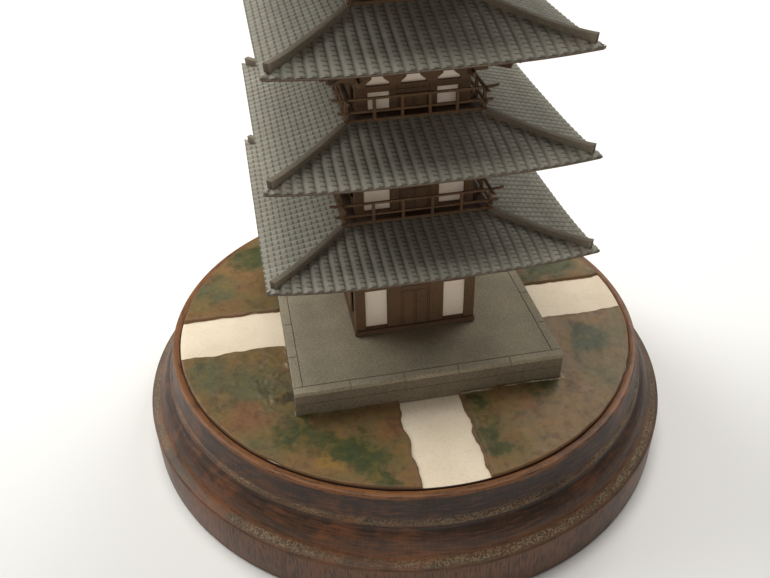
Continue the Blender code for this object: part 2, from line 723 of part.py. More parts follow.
def flame_outline(foot):
    # the pierced flame's silhouette, mirrored about the mast
    side = [(FLAME_FOOT, foot), (0.9 * MM, foot + 0.8 * MM), (FLAME_HALF, foot + 2.2 * MM),
            (0.75 * FLAME_HALF, foot + 3.6 * MM), (0.92 * FLAME_HALF, foot + 5.0 * MM),
            (0.5 * FLAME_HALF, foot + 6.6 * MM), (0.6 * FLAME_HALF, foot + 8.2 * MM),
            (FLAME_FOOT, foot + FLAME_HEIGHT)]
    return side + [(-x, z) for x, z in reversed(side)]


clear_scene()
PAGODA = make_collection("pagoda")
CUTTERS = make_collection("cutters")

make_base()
make_patches()
make_podium()
for storey in range(1, STOREYS + 1):
    if storey > 1:
        make_balcony(storey)
    make_wall(storey)
    make_eave_frame(storey)
    make_roof(storey)
    make_ridges(storey)
make_finial()
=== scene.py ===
import math

import bmesh
import bpy
from mathutils import Matrix, Vector, noise


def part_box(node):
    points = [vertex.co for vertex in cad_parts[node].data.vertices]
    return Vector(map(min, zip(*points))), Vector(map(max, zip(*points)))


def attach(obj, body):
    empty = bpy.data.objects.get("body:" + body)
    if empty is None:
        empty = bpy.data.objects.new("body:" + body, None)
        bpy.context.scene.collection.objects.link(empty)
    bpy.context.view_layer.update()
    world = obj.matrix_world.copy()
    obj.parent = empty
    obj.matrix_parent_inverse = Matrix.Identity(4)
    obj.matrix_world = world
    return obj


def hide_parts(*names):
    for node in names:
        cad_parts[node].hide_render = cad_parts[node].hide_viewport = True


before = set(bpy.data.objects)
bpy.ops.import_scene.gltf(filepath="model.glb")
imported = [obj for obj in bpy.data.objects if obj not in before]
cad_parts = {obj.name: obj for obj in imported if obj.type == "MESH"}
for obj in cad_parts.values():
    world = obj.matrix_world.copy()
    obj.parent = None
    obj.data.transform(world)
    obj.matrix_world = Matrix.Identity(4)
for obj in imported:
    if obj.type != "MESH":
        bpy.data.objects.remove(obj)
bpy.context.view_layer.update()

scene = bpy.context.scene
mm = 0.001


# shader sums: a Signal is a socket, and sums on it add Math nodes

class Signal:
    def __init__(self, paint, socket):
        self.paint = paint
        self.socket = socket

    def maths(self, operation, *values):
        return self.paint.add("ShaderNodeMath", {"operation": operation}, self, *values)

    def __add__(self, other):
        return self.maths("ADD", other)

    def __sub__(self, other):
        return self.maths("SUBTRACT", other)

    def __rsub__(self, other):
        return self.paint.add("ShaderNodeMath", {"operation": "SUBTRACT"}, other, self)

    def __mul__(self, other):
        return self.maths("MULTIPLY", other)

    def __truediv__(self, other):
        return self.maths("DIVIDE", other)

    __radd__ = __add__
    __rmul__ = __mul__

    def out(self, name):                      # another output of the same node
        return Signal(self.paint, self.socket.node.outputs[name])

    def between(self, low, high):             # 0 at low, 1 at high, smooth in between
        return self.paint.add("ShaderNodeMapRange", {"interpolation_type": "SMOOTHSTEP"}, self, low, high)


class Paint:
    def __init__(self, name, constants):
        self.material = bpy.data.materials.new(name)
        self.material.use_nodes = True
        self.tree = self.material.node_tree
        self.shader = self.tree.nodes["Principled BSDF"]
        for socket, value in constants.items():
            self.shader.inputs[socket].default_value = value
        self.place = self.add("ShaderNodeTexCoord", {}).out("Object")
        spot = self.add("ShaderNodeSeparateXYZ", {}, self.place)
        self.x, self.y, self.z = spot, spot.out("Y"), spot.out("Z")

    def add(self, kind, settings, *values, **named):
        node = self.tree.nodes.new(kind)
        for name, value in settings.items():
            setattr(node, name, value)
        sockets = list(zip(node.inputs, values))
        sockets += [(node.inputs[name.replace("_", " ")], value) for name, value in named.items()]
        for socket, value in sockets:
            if isinstance(value, Signal):
                self.tree.links.new(value.socket, socket)
            elif value is not None:
                socket.default_value = value
        return Signal(self, node.outputs[0])

    def grain(self, scale, detail=4.0, roughness=0.5, at=None, distortion=0.0):
        return self.add("ShaderNodeTexNoise", {}, Vector=at or self.place, Scale=scale, Detail=detail,
                        Roughness=roughness, Distortion=distortion)

    def cells(self, scale):
        return self.add("ShaderNodeTexVoronoi", {}, Vector=self.place, Scale=scale)

    def stretched(self, x, y, z):             # the place, scaled along each axis
        return self.add("ShaderNodeVectorMath", {"operation": "MULTIPLY"}, self.place, (x, y, z))

    def vector(self, x, y, z):
        return self.add("ShaderNodeCombineXYZ", {}, x, y, z)

    def blend(self, share, first, second):    # first where the share is 0, second where it is 1
        # a Mix node's colours are its seventh and eighth inputs and its third output
        mix = self.add("ShaderNodeMix", {"data_type": "RGBA"}, share, *[None] * 5, first, second)
        return Signal(self, mix.socket.node.outputs[2])

    def own(self, name):                      # a number stored on the mesh
        return self.add("ShaderNodeAttribute", {"attribute_name": name}).out("Fac")

    def ramp(self, share, stops):             # colours at places from 0 to 1
        made = self.add("ShaderNodeValToRGB", {}, share)
        line = made.socket.node.color_ramp
        for element, (place, colour) in zip(line.elements, (stops[0], stops[-1])):
            element.position, element.color = place, colour
        for place, colour in stops[1:-1]:
            line.elements.new(place).color = colour
        return made

    def near(self, x, y, reach, wobble):      # 1 at a spot on the ground, 0 beyond its reach
        away = self.add("ShaderNodeVectorMath", {"operation": "DISTANCE"}, wobble, (x * mm, y * mm, 0.0))
        return 1 - away.out("Value").between(0.25 * reach * mm, reach * mm)

    def bump(self, height, distance, strength=1.0):
        return self.add("ShaderNodeBump", {}, Strength=strength, Distance=distance, Height=height)

    def feed(self, **links):
        for name, value in links.items():
            self.tree.links.new(value.socket, self.shader.inputs[name.replace("_", " ")])
        return self.material


def tone(red, green, blue):                   # a colour as a picture shows it, from 0 to 255
    def linear(value):
        share = value / 255
        return share / 12.92 if share <= 0.04045 else ((share + 0.055) / 1.055) ** 2.4
    return (linear(red), linear(green), linear(blue), 1.0)


# modelling helpers

def deselectAll():
    bpy.ops.object.select_all(action="DESELECT")


def activate(piece):
    deselectAll()
    piece.select_set(True)
    bpy.context.view_layer.objects.active = piece


def settle():                                 # puts the new piece's place and size into its mesh
    bpy.ops.object.transform_apply(location=True, rotation=True, scale=True)
    return bpy.context.object


def bar(low, high, chamfer=0.0):              # a box between two corners, its edges broken
    deselectAll()
    size = [b - a for a, b in zip(low, high)]
    middle = [(a + b) / 2 for a, b in zip(low, high)]
    bpy.ops.mesh.primitive_cube_add(size=1.0, location=middle, scale=size)
    piece = settle()
    if chamfer:
        bpy.ops.object.mode_set(mode="EDIT")
        bpy.ops.mesh.select_all(action="SELECT")
        bpy.ops.mesh.bevel(offset=chamfer, segments=1, affect="EDGES")
        bpy.ops.object.mode_set(mode="OBJECT")
    return piece


def pick(piece, kind, test):                  # in edit mode, selects only the faces, edges or verts that pass
    mesh = bmesh.from_edit_mesh(piece.data)
    for group in (mesh.verts, mesh.edges, mesh.faces):
        for item in group:
            item.select = False
    for item in [item for item in getattr(mesh, kind) if test(item)]:
        item.select_set(True)
    bmesh.update_edit_mesh(piece.data)


def faceOutwards():                           # in edit mode, selects everything and turns its faces outwards
    bpy.ops.mesh.select_all(action="SELECT")
    bpy.ops.mesh.normals_make_consistent(inside=False)


def faceUp(mesh):                             # an open sheet may end up with its faces downwards
    if sum(face.normal.z for face in mesh.polygons) < 0:
        mesh.flip_normals()


def turnedCopies(pieces, turns=(1, 2, 3)):    # the pieces, and a copy of each at each quarter turn
    made = list(pieces)
    for piece in pieces:
        for turn in turns:
            twin = piece.copy()
            twin.data = piece.data.copy()
            twin.data.transform(Matrix.Rotation(turn * math.pi / 2, 4, "Z"))
            scene.collection.objects.link(twin)
            made.append(twin)
    return made


def named(piece, name):
    piece.name = name
    piece.data.name = name
    return piece


def joined(name, pieces):
    deselectAll()
    for piece in pieces:
        piece.select_set(True)
    bpy.context.view_layer.objects.active = pieces[0]
    if len(pieces) > 1:
        bpy.ops.object.join()
    return named(pieces[0], name)


def applyAll(piece):
    activate(piece)
    for modifier in list(piece.modifiers):
        bpy.ops.object.modifier_apply(modifier=modifier.name)


def finished(piece, material, nodes=(), smooth=None):
    activate(piece)
    if smooth is not None:
        bpy.ops.object.shade_smooth_by_angle(angle=math.radians(smooth))
    piece.data.materials.clear()
    piece.data.materials.append(material)
    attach(piece, "root")
    if nodes:
        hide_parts(*nodes)


def markCut(piece, test):                     # faces the laser cut, or that were cut across: they are darker
    cut = piece.data.attributes.new("cut", "FLOAT", "FACE")
    for face in piece.data.polygons:
        cut.data[face.index].value = 1.0 if test(face) else 0.0


def lathe(name, profile, sides):              # rings extruded up the profile, capped at both ends
    deselectAll()
    radius, height = profile[0]
    bpy.ops.mesh.primitive_circle_add(vertices=sides, radius=radius, fill_type="NGON",
                                      location=(0, 0, height))
    piece = settle()
    bpy.ops.object.mode_set(mode="EDIT")
    bpy.ops.mesh.select_all(action="SELECT")
    for (r0, z0), (r1, z1) in zip(profile, profile[1:]):
        bpy.ops.mesh.extrude_region_move(TRANSFORM_OT_translate={"value": (0, 0, z1 - z0)})
        bpy.ops.transform.resize(value=(r1 / r0, r1 / r0, 1.0))
    faceOutwards()
    bpy.ops.object.mode_set(mode="OBJECT")
    return named(piece, name)


def bow(start, end, bulge, count):            # points on a shallow arc between two points of a profile
    (x0, y0), (x1, y1) = start, end
    chord = math.hypot(x1 - x0, y1 - y0)
    side = ((y1 - y0) / chord, -(x1 - x0) / chord)
    points = []
    for index in range(1, count + 1):
        share = index / count
        rise = 4 * bulge * share * (1 - share)
        points.append((x0 + (x1 - x0) * share + side[0] * rise, y0 + (y1 - y0) * share + side[1] * rise))
    return points


def inMetres(points):
    return [(x * mm, y * mm) for x, y in points]


# the tower's own measures, in millimetres; heights are above the table

tower = {"storeys": 5, "firstEave": 80.95, "pitch": 28.25, "eaveHalf": 45.2, "eaveTaper": 2.2,
         "wallHalf": 18.9, "wallTaper": 1.6, "balconyHalf": 21.2, "balconyTaper": 2.5, "deckEdge": 0.45,
         "roofRise": 4.25, "riseStep": 1.55, "topRise": 14.05, "topHalf": 3.4,
         "cornerLifts": (2.5, 1.9, 1.5, 1.5, 1.5), "liftPower": 3.0, "liftFade": 1.6}
storeys = range(1, tower["storeys"] + 1)


def wallHalf(storey):
    return (tower["wallHalf"] - tower["wallTaper"] * (storey - 1)) * mm


def eaveHalf(storey):
    return (tower["eaveHalf"] - tower["eaveTaper"] * (storey - 1)) * mm


def eaveMiddle(storey):
    return (tower["firstEave"] + tower["pitch"] * (storey - 1)) * mm


def balconyHalf(storey):
    return (tower["balconyHalf"] - tower["balconyTaper"] * (storey - 2)) * mm


def topHalf(storey):
    if storey == tower["storeys"]:
        return tower["topHalf"] * mm
    return balconyHalf(storey + 1) + tower["deckEdge"] / 2 * mm


def roofRise(storey):
    if storey == tower["storeys"]:
        return tower["topRise"] * mm
    return (tower["roofRise"] + tower["riseStep"] * (storey - 1)) * mm


def roofHeight(storey, x, y):                 # straight from eave to top edge, with the corners swept up
    reach = max(abs(x), abs(y))
    corner = min(abs(x), abs(y)) / reach
    share = (eaveHalf(storey) - reach) / (eaveHalf(storey) - topHalf(storey))
    lift = tower["cornerLifts"][storey - 1] * mm * corner ** tower["liftPower"]
    lift *= max(0.0, 1.0 - share) ** tower["liftFade"]
    return eaveMiddle(storey) + roofRise(storey) * share + lift


# materials

print("materials")


def makeWood():                               # stained and varnished hardwood, turned
    look = {"dark": tone(38, 27, 20), "red": tone(126, 76, 42), "mottle": tone(158, 138, 108)}
    # the colour at heights above the table, in millimetres: the stain's colour, darker at the very foot; the
    # bead's crest is lighter, a painted highlight, and the cove under it and the hollow drum under the rim
    # are darker, a painted shade
    bands = ((0.0, tone(62, 52, 42)), (1.4, tone(94, 68, 52)), (12.6, tone(102, 73, 55)),
             (13.7, tone(96, 68, 49)), (14.5, tone(84, 60, 44)), (14.75, tone(78, 62, 46)),
             (15.5, tone(74, 58, 42)), (15.8, tone(94, 64, 42)), (17.0, tone(92, 62, 41)),
             (18.2, tone(72, 51, 37)), (21.4, tone(62, 45, 35)), (22.4, tone(48, 37, 30)),
             (23.6, tone(64, 48, 38)), (24.6, tone(82, 64, 50)), (25.6, tone(66, 50, 42)),
             (29.0, tone(62, 48, 41)), (32.0, tone(56, 42, 33)), (32.5, tone(118, 78, 46)),
             (33.1, tone(124, 82, 48)))
    # heights in millimetres: the bands' top, where the plinth's side ends, and where the pale flecks come and
    # go
    top, sideTop = 33.2, (12.6, 14.2)
    bead, shoulder = (23.2, 24.1, 25.0, 26.2), (14.3, 15.0, 15.4, 16.4)
    paint = Paint("stainedWood", {"Roughness": 0.5, "Specular IOR Level": 0.3, "Coat Weight": 0.05,
                                  "Coat Roughness": 0.3})
    radius = paint.vector(paint.x, paint.y, 0.0)
    radius = paint.add("ShaderNodeVectorMath", {"operation": "LENGTH"}, radius).out("Value")
    height = paint.z

    def within(start, full, fading, end):
        return height.between(start * mm, full * mm) * (1 - height.between(fading * mm, end * mm))

    wander = paint.grain(55.0, 3.0, 0.55)
    colour = paint.ramp((height + (wander - 0.5) * (0.9 * mm)) / (top * mm),
                        [(place / top, shade) for place, shade in bands])
    figure = paint.grain(34.0, 5.0, 0.6, paint.stretched(0.4, 1.0, 1.0), 1.4)
    colour = paint.blend(figure.between(0.50, 0.66) * 0.6, colour, look["dark"])
    colour = paint.blend((1 - figure.between(0.34, 0.48)) * 0.45, colour, look["red"])
    # short strokes across the plinth's side, where the tool lifted the grain, and wavy lines round the rest
    side = 1 - height.between(sideTop[0] * mm, sideTop[1] * mm)
    strokes = paint.grain(170.0, 3.0, 0.65, paint.vector(paint.x / radius, paint.y / radius, height * 1.3))
    rings = paint.grain(1.0, 4.0, 0.65, paint.vector(paint.x / radius * 12.0, paint.y / radius * 12.0,
                                                     (height - radius) * 1300.0 + figure * 5.0))
    lines = strokes * (side * 0.75 + 0.25) + rings * (0.75 - side * 0.75)
    colour = paint.blend(lines.between(0.48, 0.62) * 0.6, colour, look["dark"])
    colour = paint.blend((1 - lines.between(0.38, 0.50)) * 0.34, colour, look["red"])
    # pale flecks on the bead and the plinth's shoulder: partly dust in the torn grain, partly a painted
    # highlight along these rounded edges
    patchy = paint.grain(42.0, 3.0, 0.6).between(0.30, 0.58)
    fine = paint.grain(1.0, 3.0, 0.75, paint.vector(paint.x * 1400.0, paint.y * 1400.0, height * 2600.0))
    mottle = (within(*bead) + within(*shoulder)) * patchy * (fine * 0.7 + rings * 0.3).between(0.44, 0.60)
    colour = paint.blend(mottle * 0.62, colour, look["mottle"])
    return paint.feed(Base_Color=colour, Roughness=0.4 + mottle * 0.3 + figure * 0.16,
                      Normal=paint.bump(lines + mottle * 0.4, 0.1 * mm, 0.6))


def makeCreamCard():                          # bare grey-cream board with darker fibres
    look = {"base": tone(240, 225, 200), "warm": tone(224, 207, 178), "fibre": tone(160, 142, 116),
            "cut": tone(62, 40, 28)}
    paint = Paint("creamCard", {"Roughness": 0.85})
    cloud = paint.grain(60.0, 4.0, 0.6)
    colour = paint.blend(cloud.between(0.35, 0.7) * 0.6, look["base"], look["warm"])
    speck = paint.grain(1500.0, 3.0, 0.7).between(0.56, 0.70)
    colour = paint.blend(speck * 0.35, colour, look["fibre"])
    dots = 1 - paint.cells(520.0).between(0.04, 0.12)
    sparse = paint.grain(210.0, 1.0).between(0.6, 0.7)
    colour = paint.blend(dots * sparse * 0.7, colour, look["fibre"])
    colour = paint.blend(paint.own("cut"), colour, look["cut"])
    return paint.feed(Base_Color=colour, Normal=paint.bump(paint.grain(2400.0, 3.0, 0.7), 0.05 * mm, 0.5))


def makeGel():                                # gel paint in greens and browns over the ground
    look = {"olive": tone(106, 94, 54), "green": tone(50, 66, 32), "grey": tone(88, 90, 62),
            "brown": tone(126, 96, 58), "rust": tone(124, 86, 56), "ochre": tone(142, 110, 50),
            "edge": tone(126, 90, 66), "dark": tone(44, 38, 24), "glueAndHighlight": tone(196, 184, 160)}
    # places where a colour was dabbed on more heavily: x, y and reach in millimetres
    dabs = ((-43, -47, 7, "green"), (-35, -52, 8, "green"), (-28, -56, 8, "green"), (-23, -61, 8, "green"),
            (-21, -69, 4.5, "green"), (-52, -24, 15, "grey"), (-66, -17, 11, "grey"), (-34, -61, 5, "ochre"),
            (-55, -38, 8, "rust"), (-15, -51, 7, "rust"), (13, -47, 5, "green"), (12, -57, 6, "green"),
            (12, -64, 6, "green"), (34, -43, 6, "green"), (57, -25, 12, "green"), (54, -42, 9, "olive"),
            (29, -50, 7, "rust"), (34, -60, 9, "brown"), (44, -47, 9, "brown"), (-62, 29, 12, "grey"),
            (-46, 47, 14, "green"), (48, 44, 12, "green"), (30, 58, 11, "ochre"), (50, 13, 8, "green"),
            (60, 17, 12, "green"), (-40, -33, 6, "dark"), (-40, -45, 5, "green"))
    paint = Paint("gelPaint", {"Roughness": 0.45, "Specular IOR Level": 0.3, "Coat Weight": 0.06,
                               "Coat Roughness": 0.25})
    swirl = paint.grain(48.0, 4.0, 0.6, None, 0.5)
    colour = paint.blend(swirl.between(0.34, 0.64), look["brown"], look["olive"])
    second = paint.grain(80.0, 4.0, 0.6, None, 0.6)
    colour = paint.blend(second.between(0.54, 0.70) * 0.5, colour, look["grey"])
    colour = paint.blend((1 - second.between(0.30, 0.44)) * 0.5, colour, look["rust"])
    # the dabs' edges run in and out by a few millimetres
    drift = paint.vector(paint.grain(150.0, 4.0, 0.65) - 0.5,
                         paint.grain(150.0, 4.0, 0.65, paint.stretched(-1.0, 1.0, 1.0)) - 0.5, 0.0)
    wobble = paint.add("ShaderNodeVectorMath", {"operation": "MULTIPLY_ADD"}, drift,
                       (20.0 * mm, 20.0 * mm, 0.0), paint.stretched(1.0, 1.0, 0.0))
    for x, y, reach, name in dabs:
        colour = paint.blend(paint.near(x, y, reach, wobble) * 0.8, colour, look[name])
    third = paint.grain(210.0, 5.0, 0.65, None, 0.4)
    colour = paint.blend(third.between(0.50, 0.64) * 0.35, colour, look["dark"])
    colour = paint.blend((1 - third.between(0.34, 0.46)) * 0.3, colour, look["ochre"])
    fine = paint.grain(620.0, 5.0, 0.7)
    colour = paint.blend(fine.between(0.5, 0.72) * 0.4, colour, look["dark"])
    colour = paint.blend(paint.own("rim") * 0.6, colour, look["edge"])
    # pale colour along the glue bead at the podium's foot: a painted highlight
    colour = paint.blend(paint.own("glueAndHighlight"), colour, look["glueAndHighlight"])
    lumps = paint.grain(260.0, 4.0, 0.6)
    skin = paint.bump(lumps * 0.7 + fine * 0.3, 0.35 * mm, 0.55)
    return paint.feed(Base_Color=colour, Roughness=0.36 + fine * 0.3, Normal=skin)


# each card's two base tones, its fibres and its specks, and how strongly those two show
cardTones = {"podiumCard": ((156, 146, 125), (168, 157, 132), (204, 193, 170), (84, 76, 64), 0.8),
             # the podium's body: the podium card's tones painted darker, as painted shade on its sides
             "podiumSideShaded": ((122, 112, 94), (130, 119, 99), (158, 146, 124), (62, 54, 45), 0.8),
             "wallCard": ((98, 75, 54), (108, 82, 58), (130, 100, 70), (46, 34, 26), 0.6),
             "frameCard": ((70, 52, 38), (78, 58, 42), (100, 78, 56), (40, 30, 24), 1.0),
             # the rails: the wall card painted lighter and more ochre, as painted light on them
             "railCardLit": ((112, 85, 60), (100, 76, 52), (140, 108, 76), (58, 42, 30), 1.0),
             "coreCard": ((253, 240, 222), (249, 234, 214), (254, 246, 234), (224, 206, 186), 0.4),
             "eaveCard": ((110, 98, 84), (100, 88, 74), (140, 128, 112), (62, 52, 44), 1.0),
             "ridgeCard": ((128, 118, 101), (118, 108, 92), (160, 150, 130), (74, 66, 55), 0.6)}


def makeCard(name):                           # matt card in two tones, with pale fibres and dark specks
    *tones, strength = cardTones[name]
    base, second, fibre, dark = [tone(*parts) for parts in tones]
    paint = Paint(name, {"Roughness": 0.85})
    cloud = paint.grain(110.0, 4.0, 0.6)
    colour = paint.blend(cloud.between(0.35, 0.68), base, second)
    speck = paint.grain(1700.0, 3.0, 0.75)
    colour = paint.blend(speck.between(0.50, 0.66) * (0.42 * strength), colour, fibre)
    colour = paint.blend((1 - speck.between(0.34, 0.50)) * (0.40 * strength), colour, dark)
    colour = paint.blend(paint.own("cut") * 0.8, colour, dark)
    height = speck * 0.6 + paint.grain(700.0, 2.0) * 0.4
    return paint.feed(Base_Color=colour, Normal=paint.bump(height, 0.06 * mm * strength, 0.6))


def makeRoofCard():                           # grey tile card: engraved valleys, with short ticks beside them
    look = {"base": tone(156, 153, 139), "light": tone(170, 167, 153), "green": tone(144, 148, 132),
            "line": tone(62, 57, 48), "warm": tone(156, 144, 130)}
    paint = Paint("tileCard", {"Roughness": 0.9})
    column, row = paint.own("column"), paint.own("row")
    across, along = column.maths("FRACT"), (row + 0.5).maths("FRACT")
    # each tile has a tone of its own; height goes in so that the roofs differ too
    each = paint.vector(column.maths("FLOOR"), row.maths("FLOOR"), (paint.z * 36.0).maths("FLOOR"))
    each = paint.add("ShaderNodeTexWhiteNoise", {"noise_dimensions": "3D"}, each)
    colour = paint.blend(each.between(0.1, 0.9) * 0.55, look["base"], look["light"])
    colour = paint.blend((each * 7.3).maths("FRACT").between(0.7, 1.0) * 0.45, colour, look["green"])
    colour = paint.blend((each * 13.7).maths("FRACT").between(0.7, 1.0) * 0.4, colour, look["warm"])
    speck = paint.grain(1500.0, 3.0, 0.7)
    colour = paint.blend(speck.between(0.45, 0.8) * 0.25, colour, look["line"])
    mottle = paint.grain(700.0, 2.0, 0.6)
    # the burnt valleys are a little darker all round, and darker still on the front and the right: that extra
    # darkness is painted shade
    shadedSides = (paint.x - paint.y).between(-0.5 * mm, 0.5 * mm)
    valley = (across - 0.5).maths("ABSOLUTE").between(0.27, 0.46)
    colour = paint.blend(valley * (shadedSides * 0.28 + 0.08), colour, look["line"])
    tick = 1 - (along - 0.5 + mottle * 0.04).maths("ABSOLUTE").between(0.09, 0.21)
    tick = tick * across.between(0.38, 0.50) * (1 - across.between(0.97, 1.0)) * (0.55 + mottle * 0.6)
    colour = paint.blend(tick * 0.66, colour, look["line"])
    return paint.feed(Base_Color=colour, Normal=paint.bump(speck * 0.3 - tick, 0.12 * mm, 0.6))


def makeBronze():                             # the finial's dark bronze-brown card and beads
    look = {"base": tone(84, 64, 44), "bright": tone(132, 100, 62), "dark": tone(40, 30, 24)}
    paint = Paint("bronzeBrown", {"Metallic": 0.35, "Roughness": 0.45})
    cloud = paint.grain(300.0, 4.0, 0.6)
    colour = paint.blend(cloud.between(0.35, 0.65), look["base"], look["bright"])
    colour = paint.blend(paint.grain(1400.0, 3.0, 0.7).between(0.5, 0.7) * 0.5, colour, look["dark"])
    return paint.feed(Base_Color=colour, Roughness=0.38 + cloud * 0.25,
                      Normal=paint.bump(paint.grain(1800.0, 3.0), 0.06 * mm, 0.6))


stainedWood = makeWood()
creamCard = makeCreamCard()
gelPaint = makeGel()
podiumCard, podiumSideShaded, wallCard, frameCard, railCardLit, coreCard, eaveCard, ridgeCard = [
    makeCard(name) for name in cardTones]
tileCard = makeRoofCard()
bronzeBrown = makeBronze()


# the turned base and the ground disc

print("base")
baseTurning = {"sides": 224, "plinthRadius": 87.4, "plinthTop": 14.5, "rimRadius": 77.6, "rimTop": 33.2,
               "lip": 75.3, "seat": 32.4}


def makeBase():
    radius, top = baseTurning["plinthRadius"], baseTurning["plinthTop"]
    rim, high = baseTurning["rimRadius"], baseTurning["rimTop"]
    lip, seat = baseTurning["lip"], baseTurning["seat"]
    points = [(radius - 0.6, 0.0), (radius - 0.15, 0.2), (radius, 0.7), (radius, top - 0.6)]
    points += bow((radius, top - 0.6), (radius - 0.5, top), 0.1, 4)               # plinth's edge
    points += bow((radius - 0.5, top), (84.7, 15.7), -0.05, 3)                   # shoulder
    points += bow((84.7, 15.7), (83.6, 17.2), -0.15, 5)                          # fillet above the shoulder
    points += bow((83.6, 17.2), (80.4, 22.0), 0.58, 10)                          # bulge
    points += bow((80.4, 22.0), (79.8, 23.6), -0.3, 6)                           # cove
    points += bow((79.8, 23.6), (78.9, 25.2), 0.35, 7)                           # bead
    points += bow((78.9, 25.2), (rim, high - 0.5), -0.38, 9)                     # hollow drum
    points += bow((rim, high - 0.5), (rim - 0.5, high), 0.1, 4)                  # rim
    points += [(lip + 0.15, high), (lip, high - 0.1), (lip, seat), (lip - 2.0, seat)]
    piece = lathe("turnedBase", inMetres(points), baseTurning["sides"])
    finished(piece, stainedWood, ["turned_base"], 42)


disc = {"radius": 75.0, "bottom": 32.65, "top": 33.5, "sides": 200}


def makeDisc():
    radius, low, high = disc["radius"], disc["bottom"], disc["top"]
    points = [(radius - 0.25, low), (radius, low + 0.12), (radius, high - 0.2)]
    points += [(radius - 0.06, high - 0.06), (radius - 0.2, high), (radius - 2.0, high)]
    points += [(radius * share, high) for share in (0.9, 0.75, 0.5, 0.25)]
    piece = lathe("groundDisc", inMetres(points), disc["sides"])
    markCut(piece, lambda face: face.center.xy.length > (radius - 0.3) * mm or face.normal.z < 0)
    finished(piece, creamCard, ["ground_disc"], 40)


makeBase()
makeDisc()


# four quarters of gel paint between the bare paths

print("ground paint")
gel = {"pathHalf": 9.5, "offsets": (-1.6, 0.0, -3.0, -1.1), "inner": 41.05, "outer": 75.1, "skirt": 0.02,
       "across": 150, "outward": 96, "gather": 0.6, "thickness": 0.85, "round": 0.95, "rimRound": 0.45,
       # how far the edges wander, how deep inside that is still felt, and the waves' sizes and heights
       "wander": 0.75, "wanderDepth": 3.0, "edgeWaves": ((6.5, 1.3), (2.2, 0.5)), "rimWander": 0.004,
       "rimDepth": 2.0,
       # waves all over the skin: size and height; the lip beside the paths: height, distance and width
       "waves": ((9.0, 0.16), (2.6, 0.09), (0.9, 0.03)), "lip": (0.16, 0.9, 0.7),
       # cracked lumps beside the podium, in one quarter: middle, reach, size and height
       "crustQuarter": 2, "crust": ((47.0, 27.0), (5.0, 15.0), 2.4, 0.9),
       # at the podium's foot: how high and how far the paint climbs; the glue bead's height, distance and
       # width, and how much of it shows in each quarter; the glue's pale colour is a painted highlight along
       # the bead
       "climb": (0.75, 0.7), "glueAndHighlight": (0.25, 0.55, 0.26), "glueAndHighlightShares": (-0.35, -0.35, -0.35, 0.8)}
quarterNames = ("back_right", "back_left", "front_left", "front_right")


def lumpy(x, y, size, seed):
    return noise.noise(Vector((x / size + seed * 7.1, y / size - seed * 3.3, seed * 1.7)))


def clamped(value):
    return min(1.0, max(0.0, value))


def bell(place, middle, width):               # 1 at the middle, falling away on both sides
    return math.exp(-((place - middle) / width) ** 2)


def gathered(share):                          # packs the grid's lines closer towards both ends
    share, pull = clamped(share), gel["gather"]
    return share * (1 - pull) + (0.5 - 0.5 * math.cos(math.pi * share)) * pull


def gelRelief(quarter, spot, near, toPodium):  # what the lip, waves, cracks and climb add to the skin
    height, place, width = gel["lip"]
    relief = height * bell(near, place, width) * (1 + lumpy(spot.x, spot.y, 3.0, quarter))
    for size, height in gel["waves"]:
        relief += height * lumpy(spot.x, spot.y, size, quarter)
    if quarter == gel["crustQuarter"]:
        middle, reach, size, height = gel["crust"]
        share = bell(spot.x, middle[0], reach[0]) * bell(spot.y, middle[1], reach[1])
        relief += share * (height * abs(lumpy(spot.x, spot.y, size, 5)) - 0.1)
    height, reach = gel["climb"]
    climb = max(0.0, 0.6 + 0.8 * lumpy(spot.x, spot.y, 4.0, quarter + 2))
    return relief + height * math.exp(-toPodium / reach) * climb


def gelGlueAndHighlight(quarter, spot, toPodium):         # how much glue bead there is at a spot, from 0 to 1; its pale colour there is a painted highlight
    place, width = gel["glueAndHighlight"][1:]
    amount = 1.6 * lumpy(spot.x, spot.y, 6.0, quarter + 1) + gel["glueAndHighlightShares"][quarter]
    return bell(toPodium, place, width) * clamped(amount)


